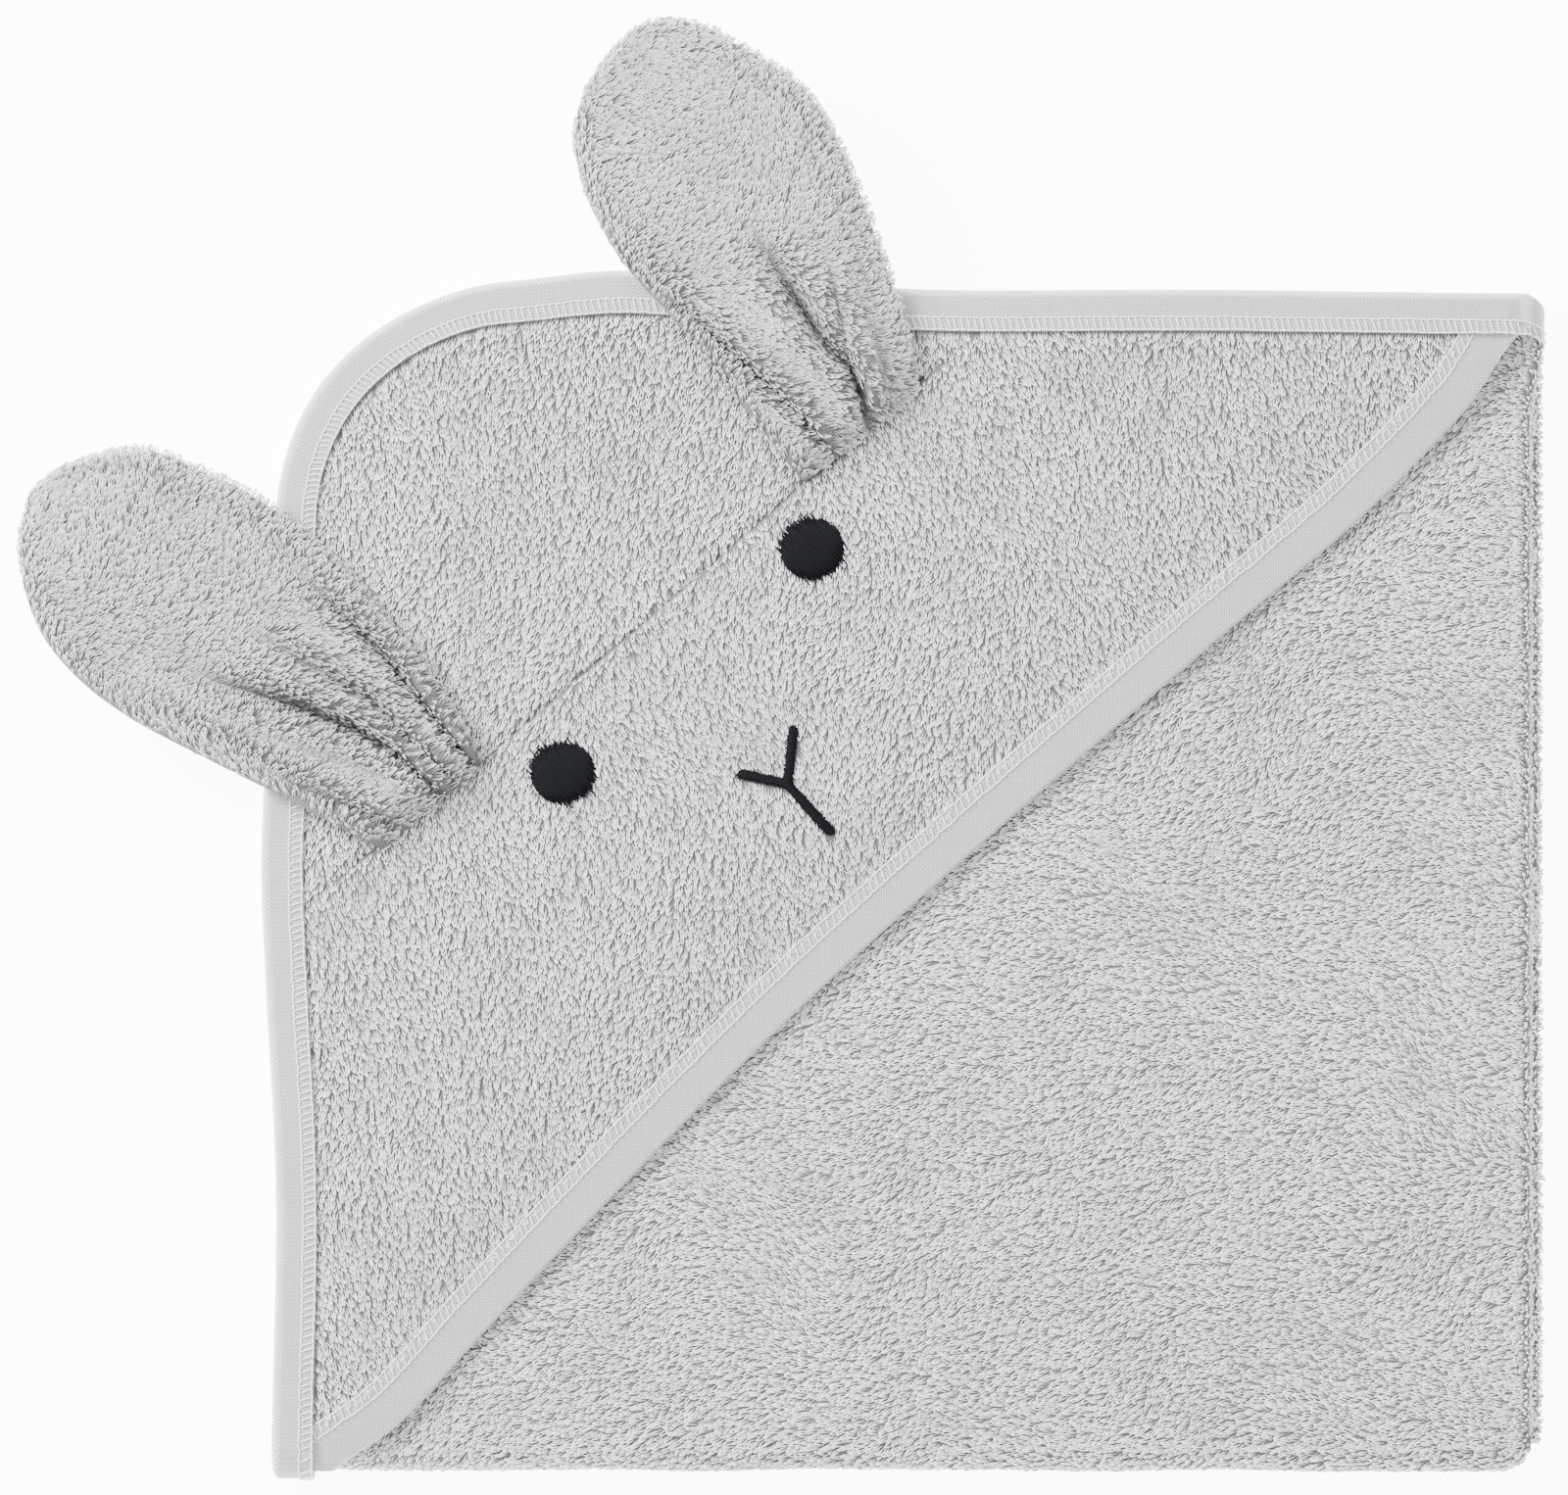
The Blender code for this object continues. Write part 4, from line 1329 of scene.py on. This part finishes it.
def satin(name, starts, ends, node, crown):
    """Threads laid side by side from starts to ends, arched over the terry."""
    t = np.linspace(0, 1, 9)
    plan = starts[:, None] * (1 - t)[None, :, None] + ends[:, None] * t[None, :, None]
    x, y = plan[..., 0], plan[..., 1]
    arch = (1 - np.abs(2 * t - 1) ** 4)[None]
    z = hood_height(x, y) + GROUND / 2 + 0.5 * MM + crown * arch
    pad = thread_object(name, raised(x, y, z), FACE_THREAD / 2 * 1.25, "black_thread", sides=6)
    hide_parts(node)


def eye(name, seed):
    """Satin stitch across an oval, with the ends of some threads straying."""
    rng = np.random.default_rng(seed)
    middle = face_places()[name]
    slant = math.radians(-52)
    along = np.array([math.cos(slant), math.sin(slant)])
    across = np.array([-along[1], along[0]])
    half = EYE_SIZE.mean() / 2
    count = int(2 * half / (FACE_THREAD * 0.62))
    place = np.linspace(-0.985, 0.985, count)
    reach = half * np.sqrt(1 - place**2)
    spread = EYE_SIZE / EYE_SIZE.mean()
    lines = []
    for sign in (-1, 1):
        stray = rng.normal(0, 0.5 * MM, count) + np.where(rng.uniform(0, 1, count) < 0.10, 1.5 * MM, 0)
        comb = 0.42 * MM * np.where(np.arange(count) // 2 % 2, 1, -1)
        lines.append(sign * np.maximum(reach + stray + comb, 0.8 * MM))
    offset = across * (place * half)[:, None]
    starts = middle + (offset + along * lines[0][:, None]) * spread
    ends = middle + (offset + along * lines[1][:, None]) * spread
    satin(f"{name}_stitches", starts, ends, name, 0.9 * MM)


def nose(seed):
    """Three bars of satin stitch that meet."""
    rng = np.random.default_rng(seed)
    centre, tips = nose_strokes()
    starts, ends = [], []
    for tip in tips:
        to = tip - centre
        length = np.linalg.norm(to)
        along = to / length
        side = np.array([-along[1], along[0]])
        count = int(length / (FACE_THREAD * 0.62))
        place = np.linspace(-0.6 * MM, length, count)
        rounding = np.sqrt(np.clip(1 - ((place - length + 1.2 * MM) / (1.4 * MM)).clip(0, 1) ** 2, 0.15, 1))
        comb = 1 + 0.16 * np.where(np.arange(count) % 2, 1, -1)
        width = NOSE_STROKE / 2 * rounding * comb + rng.normal(0, 0.12 * MM, count)
        skew = 0.35 * MM * along
        starts.append(centre + along * place[:, None] + side * width[:, None] + skew)
        ends.append(centre + along * place[:, None] - side * width[:, None] - skew)
    satin("nose_stitches", np.concatenate(starts), np.concatenate(ends), "nose", 0.7 * MM)


# Operators


class TowelOperator(bpy.types.Operator):
    """Shared by the towel's operators."""

    bl_options = {"REGISTER", "UNDO"}

    def execute(self, context):
        self.make(context.scene.towel_look)
        return {"FINISHED"}


class TOWEL_OT_finishes(TowelOperator):
    """Make the materials"""

    bl_idname = "towel.finishes"
    bl_label = "Finishes"

    def make(self, look):
        loops_finish(look)
        ground_finish(look)
        weave_finish("bias_tape", look, *BIAS_WEAVE)
        weave_finish("straight_tape", look, *STRAIGHT_WEAVE)
        thread_finish("white_thread", look.thread_colour, 0.45, 0.1)
        thread_finish("black_thread", look.face_colour, 0.40, 0.0)
        floor_finish()


class TOWEL_OT_cloth(TowelOperator):
    """Lay the towel's four layers and its folds"""

    bl_idname = "towel.cloth"
    bl_label = "Folded Towel"

    def make(self, look):
        halves = (
            towel_half("towel_front", (1, 2), upper_edge, "front_half", look, 200),
            towel_half("towel_back", (3, 4), lower_edge, "back_half", look, 300),
        )
        tapes = edge_tapes()
        for place, layers, seed in (("outer", (1, 4), 400), ("inner", (2, 3), 450)):
            end_fold(f"end_fold_{place}", *layers, look, seed)
            end_tape(f"end_fold_{place}", *layers)
        for (sheet, loops), tape in zip(halves, tapes):
            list(loops)


class TOWEL_OT_hood(TowelOperator):
    """Sew the hood and its mouth over the top layer"""

    bl_idname = "towel.hood"
    bl_label = "Hood"

    def make(self, look):
        panels = hood_panels(look)
        tape = mouth_binding()
        for name, (sheet, loops) in panels.items():
            points = np.array([point.co[:2] for point in sheet.data.vertices])
            grid = points.reshape(HOOD_ROWS, HOOD_COLUMNS, 2)
            pieces = [loops, tape] if name == "face" else [loops]


class TOWEL_OT_stitching(TowelOperator):
    """Sew the tape down with white cover stitch"""

    bl_idname = "towel.stitching"
    bl_label = "Cover Stitch"

    def make(self, look):
        rim = front_rim()
        turn = 9  # points of the end fold's tape that the stitch goes round
        path = [np.concatenate([bend[turn:0:-1], edge]) for bend, edge in zip(end_tape_path(1, 4), rim)]
        place, along = path_place(path)
        run = along[turn + np.argmax(rim[0][:, 0])]
        outer = TAPE_WIDTH - STITCH_BAND + STITCH_INSET
        edge = cover_stitch("edge_stitches", place, run, outer, look.stitch_pitch, look, 70)
        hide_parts("stitching_top", "stitching_corner", "stitching_left")

        def mouth_place(distance, inset, lift):
            return mouth_point(0.004 + distance / MOUTH_LENGTH, inset, face_height(inset, MOUTH_HEM) + lift)

        outer = MOUTH_TAPE_WIDTH - STITCH_BAND + STITCH_INSET
        run, pitch = MOUTH_LENGTH * 0.978, look.stitch_pitch * 1.18
        mouth = cover_stitch("mouth_stitches", mouth_place, run, outer, pitch, look, 80)
        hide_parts("stitching_mouth")


class TOWEL_OT_ears(TowelOperator):
    """Sew the two ears into the crown seam"""

    bl_idname = "towel.ears"
    bl_label = "Ears"

    def make(self, look):
        ear("left", look, 500)
        ear("right", look, 600)


class TOWEL_OT_face(TowelOperator):
    """Embroider the eyes and the nose"""

    bl_idname = "towel.face"
    bl_label = "Face"

    def make(self, look):
        eye("left_eye", 91)
        eye("right_eye", 92)
        nose(93)


class TOWEL_OT_stage(TowelOperator):
    """Set the floor, the lights and the camera"""

    bl_idname = "towel.stage"
    bl_label = "Stage"

    def make(self, look):
        low, high = (np.array(corner) for corner in CAD_BOX)
        middle, size = (low + high) / 2, high - low
        corners = np.array([(-1, -1, 0), (1, -1, 0), (1, 1, 0), (-1, 1, 0)]) * FLOOR_REACH
        new_object("floor", corners, [[0, 1, 2, 3]], MATERIALS["floor"])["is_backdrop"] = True
        camera = bpy.data.objects.new("camera", bpy.data.cameras.new("camera"))
        bpy.context.scene.collection.objects.link(camera)
        camera.data.lens = camera.data.sensor_width * (CAMERA_HEIGHT - HOOD_Z) / (size[0] * CAMERA_MARGIN)
        camera.location = (middle[0] + 1.1 * MM, middle[1] - 2.0 * MM, CAMERA_HEIGHT)
        camera.data.clip_end = 20
        bpy.context.scene.camera = camera
        world = bpy.data.worlds.new("studio")
        bpy.context.scene.world = world
        world.use_nodes = True
        background = world.node_tree.nodes["Background"]
        background.inputs["Color"].default_value = (1, 1, 1, 1)
        background.inputs["Strength"].default_value = STUDIO_LIGHT
        for name, place, power, breadth in LAMPS:
            lamp = bpy.data.lights.new(name, "AREA")
            lamp.energy = power
            lamp.size = breadth
            light = bpy.data.objects.new(name, lamp)
            bpy.context.scene.collection.objects.link(light)
            light.location = place
            light.rotation_mode = "QUATERNION"
            light.rotation_quaternion = (light.location * -1).to_track_quat("-Z", "Y")


OPERATORS = (
    TOWEL_OT_finishes,
    TOWEL_OT_cloth,
    TOWEL_OT_hood,
    TOWEL_OT_stitching,
    TOWEL_OT_ears,
    TOWEL_OT_face,
    TOWEL_OT_stage,
)


class TOWEL_PT_panel(bpy.types.Panel):
    """Lists the towel's operators and its settings"""

    bl_label = "Hooded Baby Towel"
    bl_idname = "TOWEL_PT_panel"
    bl_space_type = "VIEW_3D"
    bl_region_type = "UI"
    bl_category = "Towel"

    def draw(self, context):
        for name in TowelLook.__annotations__:
            self.layout.prop(context.scene.towel_look, name)
        for operator in OPERATORS:
            self.layout.operator(operator.bl_idname)


CLASSES = (TowelLook, *OPERATORS, TOWEL_PT_panel)


def register():
    """Adds the classes and the settings."""
    for cls in CLASSES:
        bpy.utils.register_class(cls)
    bpy.types.Scene.towel_look = PointerProperty(type=TowelLook)


def unregister():
    """Takes them away again."""
    del bpy.types.Scene.towel_look
    for cls in reversed(CLASSES):
        bpy.utils.unregister_class(cls)


def main():
    """Makes every piece in order."""
    register()
    for operator in OPERATORS:
        group, name = operator.bl_idname.split(".")
        getattr(getattr(bpy.ops, group), name)()
    boxes = {"cad": CAD_BOX, "visual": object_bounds()}
    {name: [list(corner) for corner in box] for name, box in boxes.items()}


if __name__ == "__main__":
    main()
